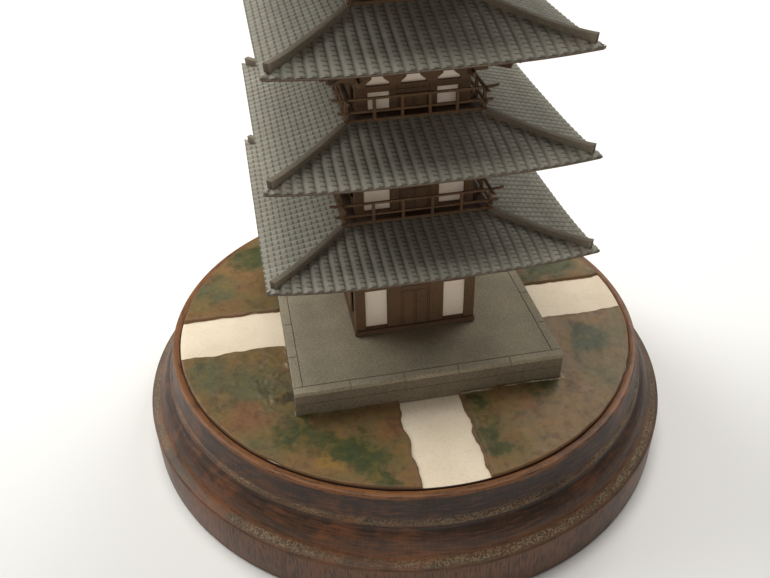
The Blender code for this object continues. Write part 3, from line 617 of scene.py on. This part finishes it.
def makePatch(quarter):
    inner, outer = gel["inner"], gel["outer"]
    first = gel["pathHalf"] + gel["offsets"][quarter]
    second = gel["pathHalf"] - gel["offsets"][(quarter + 1) % 4]
    start = math.asin(first / outer)
    end = math.pi / 2 - math.asin(second / outer)
    (broad, strong), (narrow, weak) = gel["edgeWaves"]
    deselectAll()
    bpy.ops.mesh.primitive_grid_add(x_subdivisions=gel["across"], y_subdivisions=gel["outward"], size=1.0)
    piece = named(settle(), f"gelPatch_{quarterNames[quarter]}")
    rim = piece.data.attributes.new("rim", "FLOAT", "POINT")
    glueAndHighlight = piece.data.attributes.new("glueAndHighlight", "FLOAT", "POINT")
    for vertex in piece.data.vertices:
        # across runs from the first path to the second, and outward from the podium's corner to the rim
        across, outward = gathered(vertex.co.x + 0.5), gathered(vertex.co.y + 0.5)
        if across < 0.5:
            corner = Vector((inner, first + (inner - first) * across * 2))
        else:
            corner = Vector((inner + (second - inner) * (across * 2 - 1), inner))
        turn = start + (end - start) * across
        edge = Vector((math.cos(turn), math.sin(turn))) * outer
        spot = corner.lerp(edge, outward)
        toFirst, toSecond, toRim = spot.y - first, spot.x - second, outer - spot.length
        toPodium = max(spot.x - inner, spot.y - inner, 0.0)
        # the free edges wander in and out, and the far rim only a little
        pull = math.exp(-toFirst / gel["wanderDepth"]) * gel["wander"]
        spot.y += pull * (lumpy(spot.x, 0.0, broad, quarter) * strong
                          + lumpy(spot.x, 5.0, narrow, quarter) * weak)
        pull = math.exp(-toSecond / gel["wanderDepth"]) * gel["wander"]
        spot.x += pull * (lumpy(0.0, spot.y, broad, quarter + 4) * strong
                          + lumpy(5.0, spot.y, narrow, quarter) * weak)
        sway = lumpy(turn * 40, 0.0, 4.0, quarter + 8) - 0.7
        spot *= 1 + gel["rimWander"] * math.exp(-toRim / gel["rimDepth"]) * sway
        # the skin rounds off towards its edges
        near = min(toFirst, toSecond)
        inside = clamped(min(near / gel["round"], toRim / gel["rimRound"]))
        rise = gel["thickness"] * math.sqrt(1 - (1 - inside) ** 2)
        glueAndHighlightShare = gelGlueAndHighlight(quarter, spot, toPodium)
        swell = gelRelief(quarter, spot, near, toPodium) + gel["glueAndHighlight"][0] * glueAndHighlightShare
        vertex.co = (spot.x * mm, spot.y * mm, (disc["top"] + gel["skirt"] + rise + inside * swell) * mm)
        # how pale the glue shows: a painted highlight along the bead
        glueAndHighlight.data[vertex.index].value = min(0.8, glueAndHighlightShare * (0.4 + abs(lumpy(spot.x, spot.y, 1.2, 3)) * 2))
        rim.data[vertex.index].value = math.exp(-max(0.0, min(near / 1.1, toRim / 0.5)))
    piece.data.transform(Matrix.Rotation(quarter * math.pi / 2, 4, "Z"))
    activate(piece)
    bpy.ops.object.mode_set(mode="EDIT")
    faceOutwards()
    # a short skirt down to the disc, closed underneath
    bpy.ops.mesh.select_all(action="DESELECT")
    bpy.ops.mesh.select_mode(type="EDGE")
    bpy.ops.mesh.select_non_manifold()
    bpy.ops.mesh.extrude_edges_move(TRANSFORM_OT_translate={"value": (0, 0, -gel["skirt"] * mm)})
    pick(piece, "edges", lambda edge: edge.is_boundary)
    bpy.ops.mesh.edge_face_add()
    faceOutwards()
    bpy.ops.mesh.select_mode(type="VERT")
    bpy.ops.object.mode_set(mode="OBJECT")
    finished(piece, gelPaint, ["ground_patch_" + quarterNames[quarter]], 60)


for quarter in range(4):
    makePatch(quarter)


# podium: card slabs with fine engraved lines between them

print("podium")
podium = {"half": 41.0, "border": 2.8, "line": 0.18, "joints": (8.2, 24.4), "top": 43.6, "slab": 1.4,
          "inset": 0.08, "course": 38.9, "gap": 0.1, "foot": 33.75, "edge": 0.07,
          # dark layers that show in the joints: how far down and set in under the slabs, and in the sides
          "jointDepth": 0.35, "layerInset": 0.4, "sideDepth": 0.3}


def makePodiumTop():
    # a middle slab in a border of smaller ones
    half, line, edge = podium["half"] * mm, podium["line"] * mm, podium["edge"] * mm
    inner = half - podium["border"] * mm
    top, seam = podium["top"] * mm, (podium["top"] - podium["slab"]) * mm
    stops = sorted([-half, half] + [side * place * mm for side in (-1, 1) for place in podium["joints"]])
    field = inner - line / 2
    slabs = [bar((-field, -field, seam), (field, field, top), edge)]
    for side in (-1, 1):
        low, high = sorted((side * half, side * (inner + line / 2)))
        for left, right in zip(stops, stops[1:]):
            start = left + (line / 2 if left > -half else 0.0)
            stop = right - (line / 2 if right < half else 0.0)
            slabs.append(bar((start, low, seam), (stop, high, top), edge))
            start, stop = max(start, -field), min(stop, field)
            slabs.append(bar((low, start, seam), (high, stop, top), edge))
    reach, depth = half - podium["layerInset"] * mm, podium["jointDepth"] * mm
    slabs.append(bar((-reach, -reach, seam - 0.05 * mm), (reach, reach, top - depth)))
    slabs = joined("podiumTop", slabs)
    markCut(slabs, lambda face: face.normal.z > 0.5 and face.center.z < top - depth + 0.05 * mm)
    finished(slabs, podiumCard, ["podium_top"])


def makePodiumBody():
    # two courses round a darker middle
    side, course, edge = (podium["half"] - podium["inset"]) * mm, podium["course"] * mm, podium["edge"] * mm
    seam, gap = (podium["top"] - podium["slab"]) * mm, podium["gap"] * mm
    middle = side - podium["sideDepth"] * mm
    walls = [bar((-side, -side, podium["foot"] * mm), (side, side, course), edge),
             bar((-side, -side, course + gap), (side, side, seam - gap), edge),
             bar((-middle, -middle, course - mm), (middle, middle, seam))]
    walls = joined("podiumBody", walls)
    markCut(walls, lambda face: face.center.xy.length < middle + 0.1 * mm)
    # the sides are the podium card painted darker: painted shade
    finished(walls, podiumSideShaded, ["podium_body"])


sill = {"step": 0.12, "stepHeight": 0.25, "edge": 0.06, "topEdge": 0.05}


def makeSill():
    low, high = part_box("wall_sill")
    middle, step = high.z - sill["stepHeight"] * mm, sill["step"] * mm
    steps = [bar(low, (high.x, high.y, middle), sill["edge"] * mm),
             bar((low.x + step, low.y + step, middle), (high.x - step, high.y - step, high.z),
                 sill["topEdge"] * mm)]
    finished(joined("wallSill", steps), wallCard, ["wall_sill"])


makePodiumTop()
makePodiumBody()
makeSill()


# walls: a card sheet on each side with door leaves, panels, beams and brackets

print("walls")
wall = {"panelHeights": (14.2, 7.4, 5.35, 5.0, 4.6), "panelWidths": (6.9, 7.6, 6.0, 5.4, 4.8),
        "margins": (3.15, 2.6, 3.25, 3.1, 2.9), "card": 1.0, "foot": 0.3, "edge": 0.03, "line": 0.13,
        "behind": 0.25, "doorHalf": 3.8, "doorClear": 1.2, "stile": 0.65, "meeting": 0.27,
        "lintelFoot": 1.35, "fullHeight": 8.0, "lintelTop": 0.4, "firstBeam": 8.2, "beam": 1.65,
        "block": 1.0, "arm": 2.1, "chamfer": 0.7, "cornerInset": 1.4, "innerPlace": 0.315, "beyond": 4.6,
        "armInset": 0.1,
        # a bracket's half width at heights above its foot
        "bracket": ((1.39, 0.0), (1.5, 0.5), (1.7, 0.97), (2.2, 1.3), (2.7, 1.65), (3.05, 1.95), (3.1, 2.3),
                    (3.1, 3.1))}


def makeBracket(middle, bottom, face):        # a block whose arms spread out as they rise
    (wide, low), (_, high) = wall["bracket"][:2]
    piece = bar((middle - wide * mm, face, bottom),
                (middle + wide * mm, face + wall["card"] * mm, bottom + high * mm))
    activate(piece)
    bpy.ops.object.mode_set(mode="EDIT")
    pick(piece, "faces", lambda f: f.normal.z > 0.5)
    bpy.ops.transform.resize(value=(wall["bracket"][1][0] / wide, 1.0, 1.0))
    for (wide, low), (wider, high) in zip(wall["bracket"][1:], wall["bracket"][2:]):
        bpy.ops.mesh.extrude_region_move(TRANSFORM_OT_translate={"value": (0, 0, (high - low) * mm)})
        bpy.ops.transform.resize(value=(wider / wide, 1.0, 1.0))
    bpy.ops.object.mode_set(mode="OBJECT")
    return piece


def makeWall(storey):
    half, card, line = wallHalf(storey), wall["card"] * mm, wall["line"] * mm
    panelHeight, panelWidth = wall["panelHeights"][storey - 1], wall["panelWidths"][storey - 1]
    low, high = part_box(f"storey_{storey}_wall")
    foot = low.z + wall["foot"] * mm
    panelTop = foot + panelHeight * mm
    outer = half - wall["margins"][storey - 1] * mm
    inner = outer - panelWidth * mm
    face, edge = -half, wall["edge"] * mm
    beamTop = panelTop + (wall["firstBeam"] if storey == 1 else wall["beam"]) * mm
    headFoot = beamTop + (wall["block"] + wall["arm"]) * mm
    lintelFoot = panelTop - wall["lintelFoot"] * mm * min(1.0, panelHeight / wall["fullHeight"])
    lintelTop = panelTop + wall["lintelTop"] * mm
    door, stile = min(wall["doorHalf"], inner / mm - wall["doorClear"]) * mm, wall["stile"] * mm
    meeting = wall["meeting"] * mm

    def sheet(left, right, bottom, top):
        return bar((left, face, bottom), (right, face + card, top), edge)

    side = [sheet(-half + edge, -outer, foot, panelTop), sheet(outer, half - card, foot, panelTop),
            sheet(-half + edge, half - card, low.z, foot),
            sheet(-half + edge, -door - stile, panelTop, beamTop),
            sheet(door + stile, half - card, panelTop, beamTop),
            sheet(-door - stile + line, door + stile - line, lintelTop, beamTop),
            sheet(-half + edge, half - card, headFoot, high.z)]
    # the wall either side of the door, its stiles, two leaves, the meeting strip and the lintel
    places = [-inner, -door - stile, -door, -meeting, meeting, door, door + stile, inner]
    for index, (left, right) in enumerate(zip(places, places[1:])):
        start = left + (line / 2 if index > 0 else 0.0)
        stop = right - (line / 2 if index < len(places) - 2 else 0.0)
        beside = index in (0, len(places) - 2)
        side.append(sheet(start, stop, foot, panelTop if beside else lintelFoot - line))
    side.append(sheet(-door - stile + line / 2, door + stile - line / 2, lintelFoot, lintelTop - line))
    # a dark sheet just behind shows in the engraved lines, but not in the panels
    behind = wall["behind"] * mm
    side.append(bar((-inner, face + behind, low.z), (inner, face + card, beamTop)))
    corner, middle = half - wall["cornerInset"] * mm, wall["innerPlace"] * half
    for place in (-corner, -middle, middle, corner):
        side.append(makeBracket(place, beamTop, face))
    # arms at both ends reach out past the corners
    armFoot = beamTop + (wall["block"] + wall["chamfer"]) * mm
    inset = wall["armInset"] * mm
    for end in (-1, 1):
        left, right = sorted((end * (half - card), end * (half + wall["beyond"] * mm)))
        side.append(bar((left, face + inset, armFoot), (right, face + card - inset, headFoot), edge))
    piece = joined(f"wall_{storey}", turnedCopies(side))
    markCut(piece, lambda f: abs(max(abs(f.center.x), abs(f.center.y)) - half + behind) < 0.03 * mm)
    finished(piece, wallCard, [f"storey_{storey}_wall"])


for storey in storeys:
    makeWall(storey)


# roofs: tiles over a card shell, ridges along the hips

print("roofs")
tiles = {"pitch": 2.82, "course": 1.7, "valley": 0.75, "firstTick": 1.9, "skirt": 0.16, "under": 1.5,
         "seat": 0.05,
         # a tile row's height at shares of the pitch from its valley
         "rise": ((0.0, 0.0), (0.05, 0.03), (0.12, 0.14), (0.25, 0.26), (0.5, 0.32))}
shell = {"card": 0.45, "lining": 0.36, "inset": 0.3, "gap": 0.04, "across": 28, "up": 10}


def makeTiles(storey):
    # one ribbed sheet per side: straight rows of tiles up the slope, cut along the hips
    eave, top = eaveHalf(storey), topHalf(storey) - tiles["under"] * mm
    pitch, course, valley = tiles["pitch"] * mm, tiles["course"] * mm, tiles["valley"] * mm
    columns = math.ceil(eave / pitch) * 2 + 2
    rows = math.ceil((eave - top) / course)
    rise = tiles["rise"] + tuple((1.0 - share, height) for share, height in reversed(tiles["rise"][:-1]))
    deselectAll()
    bpy.ops.mesh.primitive_grid_add(x_subdivisions=len(rise) - 1, y_subdivisions=1, size=1.0)
    piece = settle()
    for vertex in piece.data.vertices:
        share, height = rise[round((vertex.co.x + 0.5) * (len(rise) - 1))]
        vertex.co = ((share - columns / 2) * pitch + valley, (vertex.co.y + 0.5) * course - eave, height * mm)
    for count, axis, step in ((columns, 0, pitch), (rows, 1, course)):
        array = piece.modifiers.new("array", "ARRAY")
        array.count = count
        array.use_relative_offset = False
        array.use_constant_offset = True
        array.constant_offset_displace = [step if index == axis else 0.0 for index in range(3)]
        array.use_merge_vertices = True
        array.merge_threshold = 0.01 * mm
    applyAll(piece)
    bpy.ops.object.mode_set(mode="EDIT")
    for normal in ((1, 1, 0), (-1, 1, 0)):
        bpy.ops.mesh.select_all(action="SELECT")
        bpy.ops.mesh.bisect(plane_co=(0, 0, 0), plane_no=normal, clear_outer=True)
    bpy.ops.mesh.select_all(action="SELECT")
    bpy.ops.mesh.bisect(plane_co=(0, -top, 0), plane_no=(0, 1, 0), clear_outer=True)
    pick(piece, "edges", lambda e: e.is_boundary and all(abs(v.co.y + eave) < 0.01 * mm for v in e.verts))
    bpy.ops.mesh.extrude_edges_move(TRANSFORM_OT_translate={"value": (0, 0, -tiles["skirt"] * mm)})
    faceOutwards()
    bpy.ops.object.mode_set(mode="OBJECT")
    mesh = piece.data
    faceUp(mesh)
    # which tile row and which course a point lies in, for the engraved lines; 100 keeps both above zero
    column = mesh.attributes.new("column", "FLOAT", "POINT")
    row = mesh.attributes.new("row", "FLOAT", "POINT")
    for vertex in mesh.vertices:
        x, y, z = vertex.co
        column.data[vertex.index].value = (x - valley) / pitch + 100
        row.data[vertex.index].value = (eave - tiles["firstTick"] * mm + y) / course + 100
        vertex.co.z = roofHeight(storey, max(y, min(-y, x)), -y) + z + tiles["seat"] * mm
    finished(joined(f"tiles_{storey}", turnedCopies([piece])), tileCard, [f"roof_{storey}"], 50)


def makeShell(name, storey, inset, depth, thickness, material):
    # a sheet that follows the roof from this depth below its surface, set in from the eave
    eave, head = eaveHalf(storey) - inset, topHalf(storey)
    deselectAll()
    bpy.ops.mesh.primitive_grid_add(x_subdivisions=shell["across"], y_subdivisions=shell["up"], size=1.0)
    piece = settle()
    for vertex in piece.data.vertices:
        reach = eave + (head - eave) * (vertex.co.y + 0.5)
        x = vertex.co.x * 2 * reach
        vertex.co = (x, -reach, roofHeight(storey, x, reach) - depth)
    piece = joined(name, turnedCopies([piece]))
    activate(piece)
    bpy.ops.object.mode_set(mode="EDIT")
    bpy.ops.mesh.select_all(action="SELECT")
    bpy.ops.mesh.remove_doubles(threshold=0.01 * mm)
    faceOutwards()
    bpy.ops.object.mode_set(mode="OBJECT")
    faceUp(piece.data)
    card = piece.modifiers.new("card", "SOLIDIFY")
    card.thickness = thickness
    card.offset = -1.0
    card.use_even_offset = True
    applyAll(piece)
    finished(piece, material, (), 30)


ridge = {"width": 1.8, "height": 1.5, "end": 1.8, "kick": 0.9, "kickPower": 6, "lean": 0.2, "leanPower": 12,
         "steps": 24, "edge": 0.1, "seat": 0.1, "clear": 0.2, "finialHalf": 3.9}


def makeRidges(storey):
    eave, head = eaveHalf(storey), topHalf(storey)
    cover = ridge["finialHalf"] * mm if storey == tower["storeys"] else head + tower["deckEdge"] / 2 * mm
    outer, inner = eave - ridge["end"] * mm, cover + ridge["clear"] * mm
    width, height = ridge["width"] * mm, ridge["height"] * mm
    piece = bar((-0.5, -width / 2, 0.0), (0.5, width / 2, 1.0))
    activate(piece)
    bpy.ops.object.mode_set(mode="EDIT")
    for index in range(1, ridge["steps"]):
        bpy.ops.mesh.select_all(action="SELECT")
        bpy.ops.mesh.bisect(plane_co=(index / ridge["steps"] - 0.5, 0, 0), plane_no=(1, 0, 0))
    bpy.ops.object.mode_set(mode="OBJECT")
    # laid along the hip; its outer end kicks up and leans out
    for vertex in piece.data.vertices:
        share = vertex.co.x + 0.5
        reach = inner + (outer - inner) * share
        crest = height + ridge["kick"] * mm * share ** ridge["kickPower"]
        base = roofHeight(storey, reach, reach) + ridge["seat"] * mm
        lean = vertex.co.z * ridge["lean"] * mm * share ** ridge["leanPower"]
        vertex.co = (reach * math.sqrt(2) + lean, vertex.co.y, base + vertex.co.z * crest)
    piece.data.transform(Matrix.Rotation(-math.pi / 4, 4, "Z"))
    activate(piece)
    chamfer = piece.modifiers.new("edge", "BEVEL")
    chamfer.width = ridge["edge"] * mm
    chamfer.segments = 2
    chamfer.limit_method = "ANGLE"
    applyAll(piece)
    markCut(piece, lambda face: face.normal.x > 0.6 and face.normal.y < -0.6)
    piece = joined(f"hipRidges_{storey}", turnedCopies([piece]))
    finished(piece, ridgeCard, [f"roof_{storey}_hip_ridges"], 35)


for storey in storeys:
    makeTiles(storey)
    makeShell(f"roofCard_{storey}", storey, 0.0, 0.0, shell["card"] * mm, eaveCard)
    makeShell(f"roofLining_{storey}", storey, shell["inset"] * mm, (shell["card"] + shell["gap"]) * mm,
              shell["lining"] * mm, frameCard)
    makeRidges(storey)


# balconies

print("balconies")
balcony = {"deck": 0.6, "rail": 0.6, "post": 0.85, "posts": 6, "postTop": 6.4, "baseRail": 0.72,
           "midHeight": 2.8, "topHeight": 6.3, "baseTip": 0.8, "midTip": 2.4, "topTip": 3.8, "midLift": 0.1,
           "topLift": 0.4, "edge": 0.05, "setBack": 0.3, "past": 0.4,
           # a tip is drawn out in two steps: shares of its length and of its lift
           "tipSteps": ((0.55, 0.25), (0.45, 0.75))}


def makeRail(half, centre, thick, tip, lift):
    # the front rail, with its ends drawn out past the corner posts and turned up
    past = balcony["past"] * mm
    piece = bar((-half - past, -half - thick / 2, centre - thick / 2),
                (half + past, -half + thick / 2, centre + thick / 2))
    activate(piece)
    bpy.ops.object.mode_set(mode="EDIT")
    for end in (-1, 1):
        pick(piece, "faces", lambda f: f.normal.x * end > 0.5)
        for part, rise in balcony["tipSteps"]:
            out = (tip - past) * part * end
            bpy.ops.mesh.extrude_region_move(TRANSFORM_OT_translate={"value": (out, 0, lift * rise)})
    faceOutwards()
    bpy.ops.object.mode_set(mode="OBJECT")
    return piece


def makeBalcony(storey):
    half = balconyHalf(storey)
    low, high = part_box(f"balcony_{storey}")
    edge, rail, post = balcony["edge"] * mm, balcony["rail"] * mm, balcony["post"] * mm
    floor, reach = low.z, half - balcony["setBack"] * mm
    # the deck takes the dark frame card, as painted shade between the rails
    deck = bar((-reach, -reach, floor), (reach, reach, floor + balcony["deck"] * mm), edge)
    finished(joined(f"balcony_{storey}_deck", [deck]), frameCard, [f"balcony_{storey}"])
    base = balcony["baseRail"] * mm
    rails = ((base / 2, base, "baseTip", 0.0),
             (balcony["midHeight"] * mm, rail, "midTip", balcony["midLift"]),
             (balcony["topHeight"] * mm, rail, "topTip", balcony["topLift"]))
    side = [makeRail(half, floor + height, thick, balcony[tip] * mm, lift * mm)
            for height, thick, tip, lift in rails]
    spacing = 2 * half / (balcony["posts"] - 1)
    for index in range(balcony["posts"] - 1):
        x = -half + index * spacing
        side.append(bar((x - post / 2, -half - post / 2, floor + 0.02 * mm),
                        (x + post / 2, -half + post / 2, floor + balcony["postTop"] * mm), edge))
    piece = joined(f"balcony_{storey}_rails", turnedCopies(side))
    # the rails take the wall card painted lighter: painted light
    finished(piece, railCardLit, [f"balcony_{storey}"])


for storey in storeys[1:]:
    makeBalcony(storey)


# finial: box, bowl, nine hoops on a mast, pierced flame and two jewels

print("finial")
finial = {"sides": 48, "mast": 0.75, "mastSides": 24, "jewelSides": 36,
          # the box's courses: foot and top as shares of its height, how far set in, and the broken edge
          "courses": ((0.0, 0.22, 0.0, 0.12), (0.2, 0.76, 0.4, 0.08), (0.74, 1.0, 0.0, 0.14)),
          "hoops": 9, "firstHoop": 1.95, "hoopPitch": 2.7, "hoopRadius": 4.3, "hoopTaper": 0.2,
          "hoopInset": 0.38, "hoopWire": 0.37, "spokeInset": 0.4, "spokeWide": 0.25, "spokeHigh": 0.2,
          "spokeEdge": 0.05, "hubRadius": 1.15, "hubSides": 20, "flameCard": 0.3}


def finialPiece(piece, node, smooth=None):
    finished(piece, bronzeBrown, [node], smooth)


def makeFinialBox():
    low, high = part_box("finial_box")
    tall = high.z - low.z
    box = []
    for foot, top, inset, edge in finial["courses"]:
        box.append(bar((low.x + inset * mm, low.y + inset * mm, low.z + foot * tall),
                       (high.x - inset * mm, high.y - inset * mm, low.z + top * tall), edge * mm))
    finialPiece(joined("finialBox", box), "finial_box")


def makeBowl():
    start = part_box("finial_bowl")[0].z / mm
    points = [(3.0, start), (3.2, start + 0.1)]                                  # foot
    points += bow((3.2, start + 0.1), (1.3, start + 2.4), 0.75, 9)               # bowl, upside down
    points += bow((1.3, start + 2.4), (2.2, start + 3.0), -0.25, 5)              # neck
    points += [(2.2, start + 3.2), (1.8, start + 3.2)]                           # plate under the mast
    finialPiece(lathe("finialBowl", inMetres(points), finial["sides"]), "finial_bowl", 35)


def makeHoops():
    low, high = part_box("finial_ring_mast")
    start, top, mast = low.z / mm, high.z / mm, finial["mast"]
    profile = [(mast, start), (mast, top - 0.1), (mast - 0.1, top)]
    parts = [lathe("mast", inMetres(profile), finial["mastSides"])]
    wide, tall = finial["spokeWide"] * mm, finial["spokeHigh"] * mm
    for index in range(finial["hoops"]):
        radius = finial["hoopRadius"] - finial["hoopTaper"] * index
        centre = start + finial["firstHoop"] + index * finial["hoopPitch"]
        deselectAll()
        bpy.ops.mesh.primitive_torus_add(major_radius=(radius - finial["hoopInset"]) * mm,
                                         minor_radius=finial["hoopWire"] * mm, major_segments=44,
                                         minor_segments=10, location=(0, 0, centre * mm))
        parts.append(settle())
        # two crossed spokes, turned by an eighth from hoop to hoop
        reach = (radius - finial["spokeInset"]) * mm
        for spoke in range(2):
            arm = bar((-reach, -wide, centre * mm - tall), (reach, wide, centre * mm + tall),
                      finial["spokeEdge"] * mm)
            arm.data.transform(Matrix.Rotation(math.pi / 2 * spoke + math.pi / 4 * (index % 2), 4, "Z"))
            parts.append(arm)
        hub, neck = finial["hubRadius"], mast + 0.05
        profile = [(neck, centre - 0.45), (hub, centre - 0.3), (hub, centre + 0.3), (neck, centre + 0.45)]
        parts.append(lathe("hub", inMetres(profile), finial["hubSides"]))
    finialPiece(joined("finialRings", parts), "finial_ring_mast", 35)


def makeFlame():
    # one pierced fin is drawn as a flat curve, given its card's thickness, and crossed by a copy
    low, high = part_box("finial_flame")
    tall, wide = high.z - low.z, high.x
    outline = [(0.12, 0.0), (0.25, 0.06), (0.75, 0.10), (1.0, 0.22), (0.86, 0.27), (0.74, 0.36), (0.95, 0.42),
               (0.98, 0.50), (0.72, 0.56), (0.5, 0.66), (0.66, 0.72), (0.6, 0.82), (0.36, 0.88), (0.12, 1.0)]
    holes = [[(0.3, 0.16), (0.6, 0.2), (0.55, 0.27), (0.3, 0.3)],
             [(0.28, 0.38), (0.6, 0.46), (0.5, 0.52), (0.28, 0.54)],
             [(0.24, 0.66), (0.4, 0.74), (0.24, 0.82)]]
    curve = bpy.data.curves.new("flame", "CURVE")
    curve.dimensions = "2D"
    curve.fill_mode = "BOTH"
    curve.extrude = finial["flameCard"] * mm
    mirrored = [outline + [(-x, z) for x, z in reversed(outline)]]
    mirrored += holes + [[(-x, z) for x, z in hole] for hole in holes]
    for loop in mirrored:
        spline = curve.splines.new("POLY")
        spline.points.add(len(loop) - 1)
        for point, (x, z) in zip(spline.points, loop):
            point.co = (x * wide, z * tall, 0.0, 1.0)
        spline.use_cyclic_u = True
    fin = bpy.data.objects.new("flame", curve)
    scene.collection.objects.link(fin)
    activate(fin)
    bpy.ops.object.convert(target="MESH")
    fin = bpy.context.object
    fin.data.transform(Matrix.Translation((0, 0, low.z)) @ Matrix.Rotation(math.pi / 2, 4, "X"))
    finialPiece(joined("finialFlame", turnedCopies([fin], (1,))), "finial_flame", 30)


def makeJewels():
    low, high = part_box("finial_jewels")
    start, top = low.z / mm, high.z / mm
    points = [(0.7, start), (0.7, start + 0.35)]                                 # stem
    points += bow((0.7, start + 0.35), (0.7, start + 3.4), 1.25, 12)             # round jewel
    points += [(0.62, start + 3.7), (0.8, start + 3.9)]                          # neck
    points += bow((0.8, start + 3.9), (0.55, top - 1.6), 1.2, 12)                # pointed jewel
    points += [(0.28, top - 0.7), (0.06, top)]                                   # tip
    finialPiece(lathe("finialJewels", inMetres(points), finial["jewelSides"]), "finial_jewels", 40)


makeFinialBox()
makeBowl()
makeHoops()
makeFlame()
makeJewels()


# the frame's own nodes that stay: card cores and the ribs under the eaves

print("kept nodes")
for storey in storeys:
    for node, material in ((f"storey_{storey}_core", coreCard), (f"storey_{storey}_eave_frame", frameCard)):
        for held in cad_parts[node].material_slots:
            held.material = material


# floor, light and camera

print("studio")
studio = {"floor": tone(240, 240, 238), "floorShade": tone(236, 236, 234), "size": 3.0, "below": 0.0002,
          "world": (1.0, 0.99, 0.97, 1.0), "worldStrength": 0.04, "aim": (0.0, 0.0, 0.08),
          # each lamp's place and width in metres, its power and its colour
          "lamps": {"windowLeft": ((-0.8, 0.6, 0.8), 0.9, 11.0, (1.0, 0.99, 0.96)),
                    "windowRight": ((0.75, 0.6, 0.85), 0.9, 8.6, (1.0, 0.98, 0.95)),
                    "ceiling": ((-0.1, 0.05, 1.25), 0.7, 8.0, (1.0, 0.98, 0.95)),
                    "bounce": ((-0.2, -1.0, 0.2), 0.8, 2.4, (1.0, 0.9, 0.82))}}


def makeStudio():
    deselectAll()
    bpy.ops.mesh.primitive_plane_add(size=studio["size"], location=(0, 0, -studio["below"]))
    floor = named(settle(), "studioFloor")
    paper = Paint("studioPaper", {"Roughness": 0.9})
    cloud = paper.grain(3.0, 2.0).between(0.3, 0.7)
    colour = paper.blend(cloud, studio["floor"], studio["floorShade"])
    floor.data.materials.append(paper.feed(Base_Color=colour))
    world = bpy.data.worlds.new("softRoom")
    scene.world = world
    world.use_nodes = True
    backdrop = world.node_tree.nodes["Background"]
    backdrop.inputs["Color"].default_value = studio["world"]
    backdrop.inputs["Strength"].default_value = studio["worldStrength"]
    for name, (place, size, power, colour) in studio["lamps"].items():
        lamp = bpy.data.lights.new(name, "AREA")
        lamp.shape = "DISK"
        lamp.size = size
        lamp.energy = power
        lamp.color = colour
        holder = bpy.data.objects.new(name, lamp)
        scene.collection.objects.link(holder)
        holder.location = place
        holder.rotation_euler = (Vector(studio["aim"]) - Vector(place)).to_track_quat("-Z", "Y").to_euler()


# the camera's place in millimetres, its angles in degrees, and its focal length in pixels of the picture
lens = {"place": (-46.99, -219.18, 210.29), "azimuth": -10.595, "elevation": 36.310, "roll": -1.298,
        "focal": 833.66, "width": 770, "sensor": 36.0}


def makeCamera():
    azimuth, elevation, roll = [math.radians(lens[key]) for key in ("azimuth", "elevation", "roll")]
    back = Vector((math.sin(azimuth) * math.cos(elevation), -math.cos(azimuth) * math.cos(elevation),
                   math.sin(elevation)))
    right = Vector((0, 0, 1)).cross(back).normalized()
    up = back.cross(right)
    turnedRight = right * math.cos(roll) + up * math.sin(roll)
    turnedUp = up * math.cos(roll) - right * math.sin(roll)
    data = bpy.data.cameras.new("camera")
    data.sensor_width = lens["sensor"]
    data.lens = lens["focal"] / lens["width"] * lens["sensor"]
    data.clip_start = 0.005
    data.clip_end = 20.0
    camera = bpy.data.objects.new("camera", data)
    scene.collection.objects.link(camera)
    basis = Matrix((turnedRight, turnedUp, back)).transposed().to_4x4()
    camera.matrix_world = Matrix.Translation(Vector(lens["place"]) * mm) @ basis
    scene.camera = camera


makeStudio()
makeCamera()
scene.view_settings.view_transform = "Standard"
scene.view_settings.look = "None"
